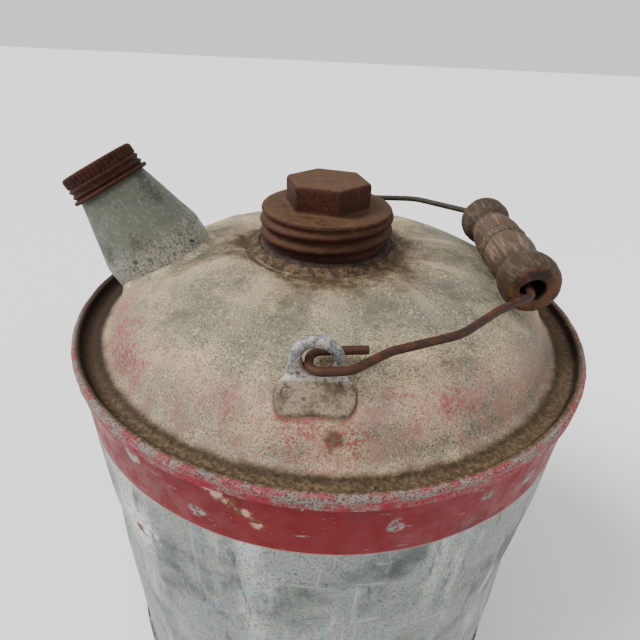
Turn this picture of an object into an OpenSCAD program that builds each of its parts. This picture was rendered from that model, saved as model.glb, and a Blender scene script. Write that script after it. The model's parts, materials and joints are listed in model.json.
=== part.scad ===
// Round galvanised gas can: seamed sheet body, domed top with a screw filler cap, a leaning
// cone spout with its own screw cap, and a wire bail with a turned wooden grip.
// Millimetres, +Z up. The origin is on the can's axis, on the surface that it stands on.
// The spout leans toward -X, the bail's ears are at -Y (front) and +Y (rear), and the bail
// lies over toward +X, with its grip on the dome's shoulder.

/* [Can] */
// Outer radius of the rolled rims
rim_r = 120; // [100:1:144]
// Height from the floor to the crest of the top rim
can_h = 216; // [150:1:280]
// Radial width of a rolled rim
rim_w = 3.5; // [3:0.1:4.2]
// Height of a rolled rim
rim_h = 6; // [5:0.1:8]
// Rounding of a rim's crest
rim_round = 1.2; // [0.9:0.1:1.4]
// Thickness of the stamped top and bottom sheets
sheet_t = 0.9; // [0.6:0.1:1.1]
// Thickness of the body wall
wall_t = 0.8; // [0.5:0.1:1.2]
// Depth of the bottom sheet's recess above the floor
recess_h = 7; // [6:0.5:15]
// Width of the lock seam down the body
seam_w = 9; // [6:0.5:12]

/* [Dome] */
// Height of the flat land above the crest of the rim
dome_h = 29.7; // [24.5:0.1:36]
// Width of the flat land left outside the ring soldered round the filler
land_margin = 0.3; // [0.2:0.1:3]
// Depth of the gutter below the crest of the rim
gutter_depth = 4.4; // [3.5:0.1:6]
// Width of the gutter's flat floor
gutter_w = 3.5; // [2:0.1:8]
// Radius between the gutter's floor and the rim
gutter_round = 3; // [2:0.1:3.4]
// Slope at which the crown turns into the shoulder, in degrees
shoulder_start = 31; // [26:1:34]
// Slope of the flank below the shoulder, in degrees
flank_slope = 62; // [56:1:70]
// Radius of the shoulder
shoulder_r = 16; // [10:0.5:18]
// Radius at the foot of the flank
foot_r = 7; // [4:0.5:9]

/* [Filler] */
// Place of the filler's axis along X
filler_x = -3.5; // [-5:0.1:0]
// Bore radius of the filler neck
neck_bore_r = 25.4; // [21:0.1:31]
// Thickness of the neck's tube
neck_t = 1; // [0.7:0.1:1.3]
// Height of the neck's mouth above the land
neck_h = 16.9; // [14:0.1:20]
// Height of the neck's rolled thread
neck_thread_h = 1; // [0.6:0.1:1.2]
// Width of the ring soldered round the neck, outside the cap's ribs
flange_w = 4.5; // [3:0.1:6]
// Thickness of the soldered ring
flange_t = 2; // [1.2:0.1:3]
// Radial clearance between the neck's thread and the cap's collar
cap_play = 0.5; // [0.4:0.1:1]
// Height of the rolled thread ribs over the mean radius
rib_rise = 0.9; // [0.5:0.1:1.1]
// Pitch of the filler cap's thread
cap_pitch = 5.9; // [5:0.1:7]
// Thickness of the filler cap's sheet
cap_t = 1; // [0.7:0.1:1.2]
// Gap between the cap's collar and the soldered ring
cap_gap = 5.2; // [1:0.1:6]
// Corner radius of the hexagonal boss
hex_r = 19.1; // [16:0.1:20]
// Height of the hexagonal boss above the cap's top
hex_h = 11.3; // [8:0.1:16]
// Turn of the hexagonal boss, in degrees
hex_turn = -12.6; // [-30:0.1:30]
// Thickness of the seals
gasket_t = 2; // [1:0.1:3]
// Width of the filler's seal inside the neck's bore
gasket_lap = 3.9; // [2:0.1:5]

/* [Spout] */
// Reach of the cone's wide end past the outer edge of the dome's foot
spout_reach = 1.7; // [0:0.1:2.5]
// Height of the cone's wide end above the dome, on the spout's axis
spout_rise = 9.4; // [6:0.1:14]
// Lean of the spout from upright, in degrees
spout_lean = 29.5; // [20:0.5:40]
// Outer radius of the cone's wide end
spout_r = 24.4; // [20:0.1:29.5]
// Length of the cone
cone_len = 29; // [24:0.1:40]
// Thickness of the spout's sheet
spout_t = 0.8; // [0.5:0.1:1]
// Width of the solder fillet round the spout's foot
solder_w = 1.4; // [0.8:0.1:2.5]
// Length of the threaded ring above the cone
thread_len = 9.4; // [7.5:0.1:12]
// Outer radius of the threaded ring
thread_r = 15; // [12.5:0.1:18.5]
// Width of the ring's shoulder on the cone's narrow end
tip_step = 1; // [0.8:0.1:1.3]
// Height of the ring's rolled thread
spout_thread_h = 0.6; // [0.4:0.1:0.8]
// Radial clearance between the ring's thread and the spout cap
spout_cap_play = 0.7; // [0.7:0.1:1.2]
// Height of the spout cap
spout_cap_h = 11.4; // [9:0.1:14]
// Pitch of the spout cap's thread
spout_pitch = 3.2; // [2.5:0.1:3.6]
// Number of knurls round the spout cap
knurl_count = 48; // [24:1:60]

/* [Ears] */
// Place of both ears' centre along X
ear_x = -3; // [-6:0.5:6]
// Distance of the ears' plates in from the outer edge of the dome's foot
ear_inset = 23.8; // [18:0.1:30]
// Thickness of the ears' sheet
ear_t = 1.5; // [1:0.1:2]
// Clearance of the wire in the eye
eye_play = 3.3; // [3:0.1:4]
// Height of the eye's lowest point above the dome
eye_lift = 2; // [1.5:0.1:4]
// Radius of the rolled bead round the eye
bead_r = 1.9; // [1.2:0.1:2]
// Half the width of an ear's foot plate
foot_half_w = 13.3; // [11:0.1:16]
// Length of an ear's foot plate
foot_len = 11.2; // [8:0.1:13]

/* [Bail] */
// Radius of the wire
wire_r = 1.6; // [1.3:0.1:2]
// Distance from the eyes to the wire through the grip, less the ears' own distance from the axis
bail_extra = -2; // [-3:0.5:6]
// Gap left between the grip and the dome when the bail lies on the shoulder
rest_gap = 0.46; // [0.4:0.02:2]
// Length of the grip
grip_len = 86.6; // [72:0.2:100]
// Radius of the grip's end knobs
knob_r = 12.2; // [11.8:0.1:14.8]
// Radius of the grip's barrel
barrel_r = 10.9; // [9.5:0.1:11]
// Radius of the coves beside the knobs
cove_r = 9; // [8:0.1:9.5]
// Width of the bead round the grip's middle
bead_w = 5; // [2:0.1:8]
// Clearance of the wire in the grip's bore
bore_play = 2.6; // [1.5:0.1:3]

/* [Hidden] */
$fn = 96;

zinc = [0.55, 0.58, 0.55];
dull_zinc = [0.36, 0.38, 0.34];
tan_zinc = [0.62, 0.57, 0.48];
rust = [0.27, 0.17, 0.13];
wood = [0.42, 0.32, 0.24];
cork = [0.5, 0.36, 0.22];

eps = 0.01;
seat_gap = 0.05;      // between a seal and what it will press on
step = 6;             // degrees between the points of a stamped curve

// The filler's pieces are sized outward from the neck's bore, and the spout's from its thread
hole_r = neck_bore_r + neck_t;
collar_in_r = hole_r + neck_thread_h + cap_play;
cap_r = collar_in_r + cap_t + rib_rise;
flange_r = cap_r + rib_rise + flange_w;
land_r = flange_r + abs(filler_x) + land_margin;
tip_r = thread_r + tip_step;
spout_cap_t = 0.7;
spout_cap_r = thread_r + spout_thread_h + spout_cap_play + spout_cap_t;
eye_r = wire_r + eye_play;
grip_bore_r = wire_r + bore_play;

// Derived places on the can
rim_in_r = rim_r - rim_w;
slot_in_r = rim_in_r + sheet_t;
slot_out_r = rim_r - sheet_t;
wall_r = slot_in_r + wall_t;
foot_edge_r = rim_in_r - gutter_round - gutter_w;

// The crown's radius and the flank's length follow from the span and the height left for them
span_left = foot_edge_r - land_r - shoulder_r * (sin(flank_slope) - sin(shoulder_start))
            - foot_r * sin(flank_slope);
drop_left = dome_h + gutter_depth - shoulder_r * (cos(shoulder_start) - cos(flank_slope))
            - foot_r * (1 - cos(flank_slope));
crown_rise = 1 - cos(shoulder_start);
det = sin(shoulder_start) * sin(flank_slope) - crown_rise * cos(flank_slope);
crown_r = (span_left * sin(flank_slope) - drop_left * cos(flank_slope)) / det;
flank_len = (drop_left * sin(shoulder_start) - span_left * crown_rise) / det;

// Points of an arc that goes from slope a0 to slope a1, from [r, z]; each is [r, z, slope]
function arc_steps(a0, a1) = max(2, ceil(abs(a1 - a0) / step));
function slope_arc(from, radius, a0, a1) =
    let (n = arc_steps(a0, a1), s = a1 > a0 ? 1 : -1)
    [for (i = [0:n]) let (a = a0 + (a1 - a0) * i / n)
        [from[0] + s * radius * (sin(a) - sin(a0)), from[1] + s * radius * (cos(a) - cos(a0)), a]];
function last(list) = list[len(list) - 1];
function side_points(path, out) = [for (p = path) [p[0] + out * sin(p[2]), p[1] + out * cos(p[2])]];
function reversed(list) = [for (i = [len(list) - 1:-1:0]) list[i]];
// A closed outline of a sheet between two distances from its path
function sheet_outline(path, from, to) = concat(side_points(path, from), reversed(side_points(path, to)));

// The rolled rim, from the floor of a gutter of the given depth, over the crest and down outside
function rim_path(depth) = let (
    fillet = slope_arc([rim_in_r - gutter_round, -depth], gutter_round, 0, -90),
    crest_in = slope_arc([rim_in_r, -rim_round], rim_round, -90, 0),
    crest_out = slope_arc([rim_r - rim_round, 0], rim_round, 0, 90))
    concat(fillet, crest_in, crest_out, [[rim_r, -rim_h, 90]]);

// The dome, from the flat land down to the edge of its foot; heights are above the rim's crest
crown = slope_arc([land_r, dome_h], crown_r, 0, shoulder_start);
shoulder = slope_arc(last(crown), shoulder_r, shoulder_start, flank_slope);
flank_foot = [last(shoulder)[0] + flank_len * cos(flank_slope),
              last(shoulder)[1] - flank_len * sin(flank_slope)];
foot = slope_arc(flank_foot, foot_r, flank_slope, 0);
dome_path = concat([[0, dome_h, 0]], crown, [for (i = [1:len(shoulder) - 1]) shoulder[i]], foot);

// Height of the crown above the floor at a radius on the crown
function crown_z(r) = can_h + dome_h - crown_r * (1 - cos(asin(max(0, r - land_r) / crown_r)));

land_z = can_h + dome_h;
mouth_z = land_z + neck_h;
cap_under_z = mouth_z + gasket_t + 2 * seat_gap;
cap_top_z = cap_under_z + cap_t;
cap_foot_z = land_z + flange_t + cap_gap;

spout_x = spout_r - spout_reach - foot_edge_r;
spout_z = crown_z(abs(spout_x)) + spout_rise;
ring_shoulder_t = 0.8;
ring_top = cone_len + ring_shoulder_t + thread_len;
spout_cap_foot = cone_len + ring_shoulder_t - 0.4;
spout_cap_top = ring_top + gasket_t - 0.8 + 2 * seat_gap + spout_cap_t;

ear_y = foot_edge_r - ear_inset;
eye_rise = eye_r + eye_lift;
eye_z = crown_z(ear_y) + eye_rise;
bead_ring_r = eye_r + bead_r + 0.3;
tab_r = bead_ring_r + bead_r + 0.2;

pivot_x = ear_x - (eye_r - wire_r - 0.7);
pivot_z = eye_z - 1;
bail_reach = ear_y + bail_extra;
grip_sag = bore_play - 0.3;   // how far the grip hangs out on the wire

// Half of the grip's turned outline, from its middle to its end face, as [along, radius]
half_grip = grip_len / 2;
knob_w = 19;
knob_mid = half_grip - knob_w / 2;
cove_at = half_grip - knob_w + 0.9;
swell_at = (bead_w + cove_at) / 2.9;
function smooth(t) = (1 - cos(180 * t)) / 2;
grip_outline = concat(
    [for (i = [0:3]) [bead_w / 2 * i / 3, barrel_r + 0.1 - 0.5 * pow(i / 3, 2)]],
    [[bead_w / 2 + 0.6, barrel_r - 1], [bead_w / 2 + 1.5, barrel_r - 0.5], [bead_w / 2 + 3.5, barrel_r - 0.1]],
    [for (i = [0:6]) [swell_at + (cove_at - swell_at) * i / 6, barrel_r + (cove_r - barrel_r) * smooth(i / 6)]],
    [for (i = [1:5]) [cove_at + 4.3 * i / 5, cove_r + (knob_r - 0.9 - cove_r) * smooth(i / 5)]],
    [for (i = [1:8]) let (a = 130 - 16.25 * i)
        [knob_mid + 1 + (half_grip - knob_mid - 1) * cos(a), knob_r - 3.4 + 3.4 * sin(a)]]);

// The bail lies at the angle that leaves the rest gap between the grip and the dome
function point_gap(p, a, b) = let (along = (p - a) * (b - a) / ((b - a) * (b - a)))
    norm(p - a - (b - a) * min(1, max(0, along)));
function dome_gap(p) = min([for (i = [1:len(dome_path) - 1]) let (a = dome_path[i - 1], b = dome_path[i])
    point_gap(p, [a[0], can_h + a[1]], [b[0], can_h + b[1]])]);
function grip_gap(angle) = let (u = bail_reach + grip_sag, x = pivot_x + u * cos(angle))
    min([for (p = grip_outline) dome_gap([norm([x, p[0]]), pivot_z + u * sin(angle)]) - p[1]]);
function lay_down(low, high, tries) = let (mid = (low + high) / 2)
    tries == 0 ? mid : grip_gap(mid) < rest_gap ? lay_down(mid, high, tries - 1) : lay_down(low, mid, tries - 1);
bail_rest = lay_down(2, 40, 16);

// ---- shared shapes ----

module ring(outer, inner, z0, z1) {
    translate([0, 0, z0]) difference() {
        cylinder(r = outer, h = z1 - z0);
        translate([0, 0, -1]) cylinder(r = inner, h = z1 - z0 + 2);
    }
}

// Everything under the dome's outer surface
module under_dome() {
    top = side_points(dome_path, 0);
    translate([0, 0, can_h]) rotate_extrude()
        polygon(concat([[0, -40]], top, [[foot_edge_r, -40]]));
}

// A layer lying on the dome
module dome_layer(thick) {
    translate([0, 0, can_h]) rotate_extrude() polygon(sheet_outline(dome_path, 0, thick));
}

module at_filler() { translate([filler_x, 0, 0]) children(); }
module at_spout() { translate([spout_x, 0, spout_z]) rotate([0, -spout_lean, 0]) children(); }
module at_bail() { translate([pivot_x, 0, pivot_z]) rotate([0, -bail_rest, 0]) children(); }

// Outline of a rolled thread, up from z0 to z1; a rib's crest is at crest_z
function rib_points(z0, z1, radius, rise, pitch, crest_z) =
    let (n = ceil((z1 - z0) / pitch * 12))
    [for (i = [0:n]) let (z = z0 + (z1 - z0) * i / n)
        [radius + rise * cos(360 * (z - crest_z) / pitch), z]];

// ---- can ----

// The wall's sheet is folded out at both edges, inside the rolled rims
module body_shell() {
    hem_z = rim_round + 0.2;
    hem_h = rim_h - hem_z;
    color(zinc) difference() {
        union() {
            cylinder(r = wall_r, h = can_h - hem_z);
            cylinder(r = slot_out_r, h = rim_h);
            translate([0, 0, can_h - rim_h]) cylinder(r = slot_out_r, h = hem_h);
            translate([-seam_w / 2, wall_r - 0.4, rim_h + 1]) cube([seam_w, 1.3, can_h - 2 * rim_h - 2]);
        }
        translate([0, 0, -1]) cylinder(r = slot_in_r, h = can_h + 2);
        translate([0, 0, -1]) cylinder(r = rim_r, h = hem_z + 1);
    }
}

module bottom_pan() {
    path = concat([[0, -recess_h, 0]], rim_path(recess_h));
    color(zinc) mirror([0, 0, 1]) rotate_extrude() polygon(sheet_outline(path, 0, -sheet_t));
}

module top_dome() {
    color(tan_zinc) difference() {
        translate([0, 0, can_h]) rotate_extrude()
            polygon(sheet_outline(concat(dome_path, rim_path(gutter_depth)), 0, -sheet_t));
        at_filler() translate([0, 0, can_h]) cylinder(r = hole_r, h = 2 * dome_h);
        at_spout() translate([0, 0, -2 * spout_r]) cylinder(r = spout_r - spout_t, h = 3 * spout_r);
    }
}

// ---- filler ----

module filler_flange() {
    edge = flange_t / 2;
    color(rust) at_filler() translate([0, 0, land_z]) rotate_extrude() union() {
        translate([hole_r, 0]) square([flange_r - edge - hole_r, flange_t * 0.7]);
        translate([flange_r - edge, edge]) circle(r = edge);
    }
}

module filler_neck() {
    rib_top = mouth_z - 1.5;
    rib_foot = rib_top - 2 * cap_pitch;
    rise = neck_thread_h / 2;
    thread = rib_points(rib_foot, rib_top, hole_r + rise, -rise, cap_pitch, rib_foot);
    color(rust) at_filler() difference() {
        union() {
            translate([0, 0, land_z - 2.5]) cylinder(r = hole_r, h = neck_h + 2.5);
            rotate_extrude() polygon(concat([[hole_r - neck_t / 2, rib_foot]], thread,
                                            [[hole_r - neck_t / 2, rib_top]]));
        }
        translate([0, 0, land_z - 10]) cylinder(r = neck_bore_r, h = neck_h + 20);
    }
}

module filler_gasket() {
    outer = collar_in_r - 0.6;
    color(cork) at_filler() ring(outer, neck_bore_r - gasket_lap, mouth_z + seat_gap, cap_under_z - seat_gap);
}

// Ribbed collar with a rounded top edge; the hexagonal boss stands over a round opening in its top
module filler_cap() {
    crest_z = cap_top_z - 0.9 * cap_pitch;
    turn_z = cap_top_z - 1.6;
    outer = rib_points(cap_foot_z, turn_z, cap_r, rib_rise, cap_pitch, crest_z);
    inner = rib_points(cap_foot_z, turn_z, cap_r - cap_t, rib_rise, cap_pitch, crest_z);
    rim = last(outer)[0];
    hex_top = cap_top_z + hex_h;
    well_r = (hex_r - cap_t) * cos(30) - 0.8;
    color(rust) at_filler() {
        rotate_extrude() polygon(concat(
            outer, [[rim - 0.5, cap_top_z - 0.5], [rim - 1.6, cap_top_z], [well_r, cap_top_z],
                    [well_r, cap_under_z], [last(inner)[0] - 0.6, cap_under_z]], reversed(inner)));
        difference() {
            intersection() {
                translate([0, 0, cap_under_z + cap_t / 2]) rotate([0, 0, hex_turn])
                    cylinder(r = hex_r, h = hex_top - cap_under_z - cap_t / 2, $fn = 6);
                rotate_extrude() polygon([[0, cap_under_z], [hex_r + 1, cap_under_z], [hex_r + 1, hex_top - 4],
                                          [hex_r - 0.5, hex_top - 2], [hex_r - 2.4, hex_top], [0, hex_top]]);
            }
            translate([0, 0, cap_under_z - 1]) rotate([0, 0, hex_turn])
                cylinder(r = hex_r - cap_t / cos(30), h = hex_top - cap_t - cap_under_z + 1, $fn = 6);
        }
    }
}

// ---- spout ----

module spout_body() {
    deep = 2 * spout_r;
    color(dull_zinc) difference() {
        at_spout() difference() {
            union() {
                translate([0, 0, -deep]) cylinder(r = spout_r, h = deep);
                cylinder(r1 = spout_r, r2 = tip_r, h = cone_len);
            }
            translate([0, 0, -deep - 1]) cylinder(r = spout_r - spout_t, h = deep + 1);
            cylinder(r1 = spout_r - spout_t, r2 = tip_r - spout_t, h = cone_len);
        }
        under_dome();
    }
}

module spout_solder() {
    deep = 2 * spout_r;
    color(zinc) intersection() {
        dome_layer(1);
        at_spout() ring(spout_r + solder_w, spout_r, -deep, 0.2 * spout_r);
    }
}

module spout_thread_ring() {
    inner = thread_r - 0.8;
    rise = spout_thread_h / 2;
    rib_foot = cone_len + ring_shoulder_t + 1.2;
    rib_top = rib_foot + 2 * spout_pitch;
    thread = rib_points(rib_foot, rib_top, thread_r + rise, -rise, spout_pitch, rib_foot);
    color(dull_zinc) at_spout() difference() {
        union() {
            translate([0, 0, cone_len - 3]) cylinder(r = thread_r, h = ring_top - cone_len + 3);
            translate([0, 0, cone_len]) cylinder(r = tip_r, h = ring_shoulder_t);
            rotate_extrude() polygon(concat([[inner + 0.4, rib_foot]], thread, [[inner + 0.4, rib_top]]));
        }
        translate([0, 0, cone_len - 10]) cylinder(r = inner, h = ring_top);
    }
}

module spout_gasket() {
    color(cork) at_spout() translate([0, 0, ring_top + seat_gap])
        cylinder(r = thread_r, h = spout_cap_top - spout_cap_t - ring_top - 2 * seat_gap);
}

// Curled lip, two rolled ribs, a knurled band and a flat top with a rounded edge
module spout_cap() {
    wall = spout_cap_t;
    inner = spout_cap_r - wall;
    rib_z = spout_cap_foot + 1.2;
    band_z = rib_z + 1.6 * spout_pitch;
    ribs = rib_points(rib_z, band_z, spout_cap_r - 0.1, 0.35, spout_pitch, rib_z + 0.35 * spout_pitch);
    lip_r = spout_cap_r + 0.6;
    color(rust) at_spout() difference() {
        rotate_extrude() union() {
            polygon(concat(
                [[inner - 0.1, spout_cap_foot + 0.4], [spout_cap_r, spout_cap_foot + 0.4]], ribs,
                [[spout_cap_r, band_z + 0.3], [spout_cap_r, spout_cap_top - 1],
                 [spout_cap_r - 0.3, spout_cap_top - 0.3], [spout_cap_r - 1, spout_cap_top],
                 [0, spout_cap_top], [0, spout_cap_top - wall], [inner - 0.1, spout_cap_top - wall]]));
            translate([lip_r, spout_cap_foot + 0.9]) circle(r = 0.9);
        }
        for (i = [0:knurl_count - 1]) rotate([0, 0, i * 360 / knurl_count])
            translate([spout_cap_r + 0.25, 0, band_z + 0.6])
                cylinder(r = 0.55, h = spout_cap_top - band_z - 1.8, $fn = 24);
    }
}

// ---- ears ----

// A rectangle with rounded far corners, from y = 0 to y = -length
module foot_outline(half_w, length, corner) {
    translate([-half_w, -length + corner]) square([2 * half_w, length - corner]);
    translate([-half_w + corner, -length]) square([2 * (half_w - corner), corner + eps]);
    for (s = [-1, 1]) translate([s * (half_w - corner), -length + corner]) circle(r = corner);
}

// The tab stands on the dome and its foot plate lies on the dome, toward the rim
module ear() {
    plate_y = -ear_y - ear_t / 2;
    color(zinc) union() {
        intersection() {
            dome_layer(ear_t);
            translate([ear_x, plate_y + ear_t, can_h]) linear_extrude(2 * dome_h)
                foot_outline(foot_half_w, foot_len + ear_t, 4);
        }
        difference() {
            union() {
                translate([ear_x - tab_r, plate_y, eye_z - 3 * eye_rise])
                    cube([2 * tab_r, ear_t, 3 * eye_rise]);
                translate([ear_x, plate_y, eye_z]) rotate([-90, 0, 0]) cylinder(r = tab_r, h = ear_t);
                translate([ear_x, -ear_y, eye_z]) rotate([90, 0, 0]) rotate_extrude()
                    translate([bead_ring_r, 0]) circle(r = bead_r);
            }
            translate([ear_x, plate_y - 5, eye_z]) rotate([-90, 0, 0]) cylinder(r = eye_r, h = 10 + ear_t);
            under_dome();
        }
    }
}

module ear_front() { ear(); }
module ear_rear() { mirror([0, 1, 0]) ear(); }

// ---- bail ----

// The wire's corners in the bail's plane, [out from the eyes, along Y, bend radius], from the cut
// end of the tail behind an ear, through its eye, along the leg to the grip's end
front_leg = [[20, -ear_y + 6, 0], [0, -ear_y + 6, 4], [0, -ear_y - 5.6, 5], [14, -ear_y - 5.1, 9],
             [27, -ear_y + 4.7, 14], [bail_reach - 32, -ear_y + 13.7, 22],
             [bail_reach - 16.5, -ear_y + 28, 12], [bail_reach, -grip_len / 2 - 3.7, 5]];
rear_leg = [[20, ear_y - 6, 0], [0, ear_y - 6, 4], [0, ear_y + 5.3, 5], [16, ear_y + 3, 12],
            [bail_reach - 29, ear_y - 7.4, 20], [bail_reach, grip_len / 2 + 5.2, 5]];
wire_corners = concat(front_leg, reversed(rear_leg));

function unit(v) = v / norm(v);
function flat(p) = [p[0], p[1]];
function turned(v, a) = [v[0] * cos(a) - v[1] * sin(a), v[0] * sin(a) + v[1] * cos(a)];
// The arc that rounds corner b on the way from a to c
function bend(a, b, c, radius) = let (
    back = unit(a - b), ahead = unit(c - b),
    half = acos(back * ahead) / 2,
    centre = b + unit(back + ahead) * radius / sin(half),
    start = b + back * radius / tan(half),
    hand = cross([-back[0], -back[1], 0], [ahead[0], ahead[1], 0])[2] > 0 ? 1 : -1,
    turn = 180 - 2 * half,
    n = max(2, ceil(turn / 12)))
    [for (i = [0:n]) centre + turned(start - centre, hand * turn * i / n)];
wire_path = concat(
    [flat(wire_corners[0])],
    [for (i = [1:len(wire_corners) - 2])
        each bend(flat(wire_corners[i - 1]), flat(wire_corners[i]), flat(wire_corners[i + 1]), wire_corners[i][2])],
    [flat(last(wire_corners))]);

// A round wire swept along a flat path
module swept_wire(path, radius, sides) {
    n = len(path);
    function along(i) = unit(path[min(i + 1, n - 1)] - path[max(i - 1, 0)]);
    points = [for (i = [0:n - 1]) let (t = along(i)) for (j = [0:sides - 1])
        let (a = 360 * j / sides)
        [path[i][0] - t[1] * radius * cos(a), path[i][1] + t[0] * radius * cos(a), radius * sin(a)]];
    walls = [for (i = [0:n - 2]) for (j = [0:sides - 1]) let (k = (j + 1) % sides)
        [i * sides + j, i * sides + k, (i + 1) * sides + k, (i + 1) * sides + j]];
    polyhedron(points, concat(walls, [[for (j = [sides - 1:-1:0]) j]],
                              [[for (j = [0:sides - 1]) (n - 1) * sides + j]]), convexity = 6);
}

module bail_wire() {
    color(rust) at_bail() swept_wire(wire_path, wire_r, 12);
}

module bail_grip() {
    half = [for (p = grip_outline) [p[1], p[0]]];
    other = [for (p = reversed(grip_outline)) if (p[0] > 0) [p[1], -p[0]]];
    color(wood) at_bail() translate([bail_reach + grip_sag, 0, 0]) rotate([-90, 0, 0]) difference() {
        rotate_extrude() polygon(concat([[0, -half_grip]], other, half, [[0, half_grip]]));
        translate([0, 0, -half_grip - 1]) cylinder(r = grip_bore_r, h = grip_len + 2);
    }
}

body_shell();
bottom_pan();
top_dome();
filler_flange();
filler_neck();
filler_gasket();
filler_cap();
spout_body();
spout_solder();
spout_thread_ring();
spout_gasket();
spout_cap();
ear_front();
ear_rear();
bail_wire();
bail_grip();
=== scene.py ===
"""A weathered round gas can: seamed sheet body, domed top, screw caps, a leaning spout and a bail.

Every piece is built in the can's own frame, in metres, around the fixed CAD model.
"""

import functools
import json
import math

import bmesh
import bpy
import numpy as np
from bpy.props import FloatProperty, FloatVectorProperty, IntProperty, PointerProperty
from mathutils import Matrix, Vector, noise


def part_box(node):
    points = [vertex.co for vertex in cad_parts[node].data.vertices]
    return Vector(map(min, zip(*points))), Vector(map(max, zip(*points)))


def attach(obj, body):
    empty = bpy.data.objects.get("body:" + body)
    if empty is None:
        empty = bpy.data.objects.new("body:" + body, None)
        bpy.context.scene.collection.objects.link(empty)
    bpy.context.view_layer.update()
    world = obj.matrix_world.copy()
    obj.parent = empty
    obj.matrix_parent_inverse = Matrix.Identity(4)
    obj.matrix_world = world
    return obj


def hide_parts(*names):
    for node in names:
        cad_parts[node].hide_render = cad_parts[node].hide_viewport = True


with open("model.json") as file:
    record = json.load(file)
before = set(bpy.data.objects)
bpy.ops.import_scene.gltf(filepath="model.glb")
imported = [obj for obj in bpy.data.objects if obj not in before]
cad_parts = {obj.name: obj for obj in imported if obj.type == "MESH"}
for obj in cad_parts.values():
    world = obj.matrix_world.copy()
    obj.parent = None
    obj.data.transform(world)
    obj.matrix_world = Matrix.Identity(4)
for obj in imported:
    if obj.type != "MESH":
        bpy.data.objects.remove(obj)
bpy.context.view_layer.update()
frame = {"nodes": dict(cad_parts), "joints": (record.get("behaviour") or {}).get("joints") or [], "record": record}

bl_info = {
    "name": "Weathered Gas Can",
    "version": (1, 0, 0),
    "blender": (4, 5, 0),
    "location": "View3D > Sidebar > Gas Can",
    "description": "Builds a galvanised gas can with its caps, spout, bail and finishes",
    "category": "Add Mesh",
}

MM = 0.001
MOUNTS = {m["name"]: m for m in frame["record"]["mounts"]}
JOINTS = {j["name"]: j for j in frame["joints"]}

# Places read from the frame
TOP_LOW, TOP_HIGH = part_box("top_dome")
RIM_R = TOP_HIGH.x
LAND_Z = TOP_HIGH.z
WALL_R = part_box("body_shell")[0].y * -1 - 0.9 * MM
FILLER = Vector(MOUNTS["filler_mouth"]["pos_m"])
NECK_BORE_R = MOUNTS["filler_mouth"]["dims"]["r_mm"] * MM
CAP_LOW, CAP_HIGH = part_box("filler_cap")
CAP_UNDER_Z = JOINTS["filler_cap_turn"]["pos_m"][2]
SPOUT_MOUTH = Vector(MOUNTS["spout_mouth"]["pos_m"])
SPOUT_AXIS = Vector(MOUNTS["spout_mouth"]["axis"]).normalized()
SPOUT_BORE_R = MOUNTS["spout_mouth"]["dims"]["r_mm"] * MM
PIVOT = Vector(JOINTS["bail_swing"]["pos_m"])
GRIP_CENTRE = Vector(JOINTS["grip_spin"]["pos_m"])
GRIP_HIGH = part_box("bail_grip")[1]

# Lengths that several pieces share
SHEET = 0.8 * MM  # the wall's and the spout's sheet
SPOUT_LEN = 39.2 * MM  # from the cone's wide end to the mouth
EAR_X = -3 * MM  # middle of the ears
EAR_Y_MM = 86.2  # middle of the eyes, from the can's axis
EAR_Y = EAR_Y_MM * MM
EAR_IN = 1.9 * MM  # from an ear's inner side to the middle of its eye
EYE_DROP = 9 * MM  # from an ear's top to the middle of its eye
FOOT_Y = 91.8 * MM  # middle of the foot plates
FOOT_CORNER = 4 * MM  # rounding of a foot plate's corners
WELD_Y = 92.4 * MM  # row of the weld marks on the foot plates
COVE_IN = 18.1 * MM  # from the grip's end to the cove beside its knob

# Where the spout's axis crosses the plane of its cone's wide end
SPOUT_FOOT = SPOUT_MOUTH - SPOUT_AXIS * SPOUT_LEN


# ---- sizes and colours that a user would change ----


def length(name, about, value):
    """A length in metres, given in millimetres."""
    return FloatProperty(name=name, description=about, default=value * MM, min=0.0, unit="LENGTH")


def turn(name, about, degrees):
    """An angle, given in degrees."""
    return FloatProperty(name=name, description=about, default=math.radians(degrees), subtype="ANGLE")


def colour(name, about, value):
    """A linear colour."""
    return FloatVectorProperty(
        name=name, description=about, default=value, size=3, subtype="COLOR", min=0.0, max=1.0
    )


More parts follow.
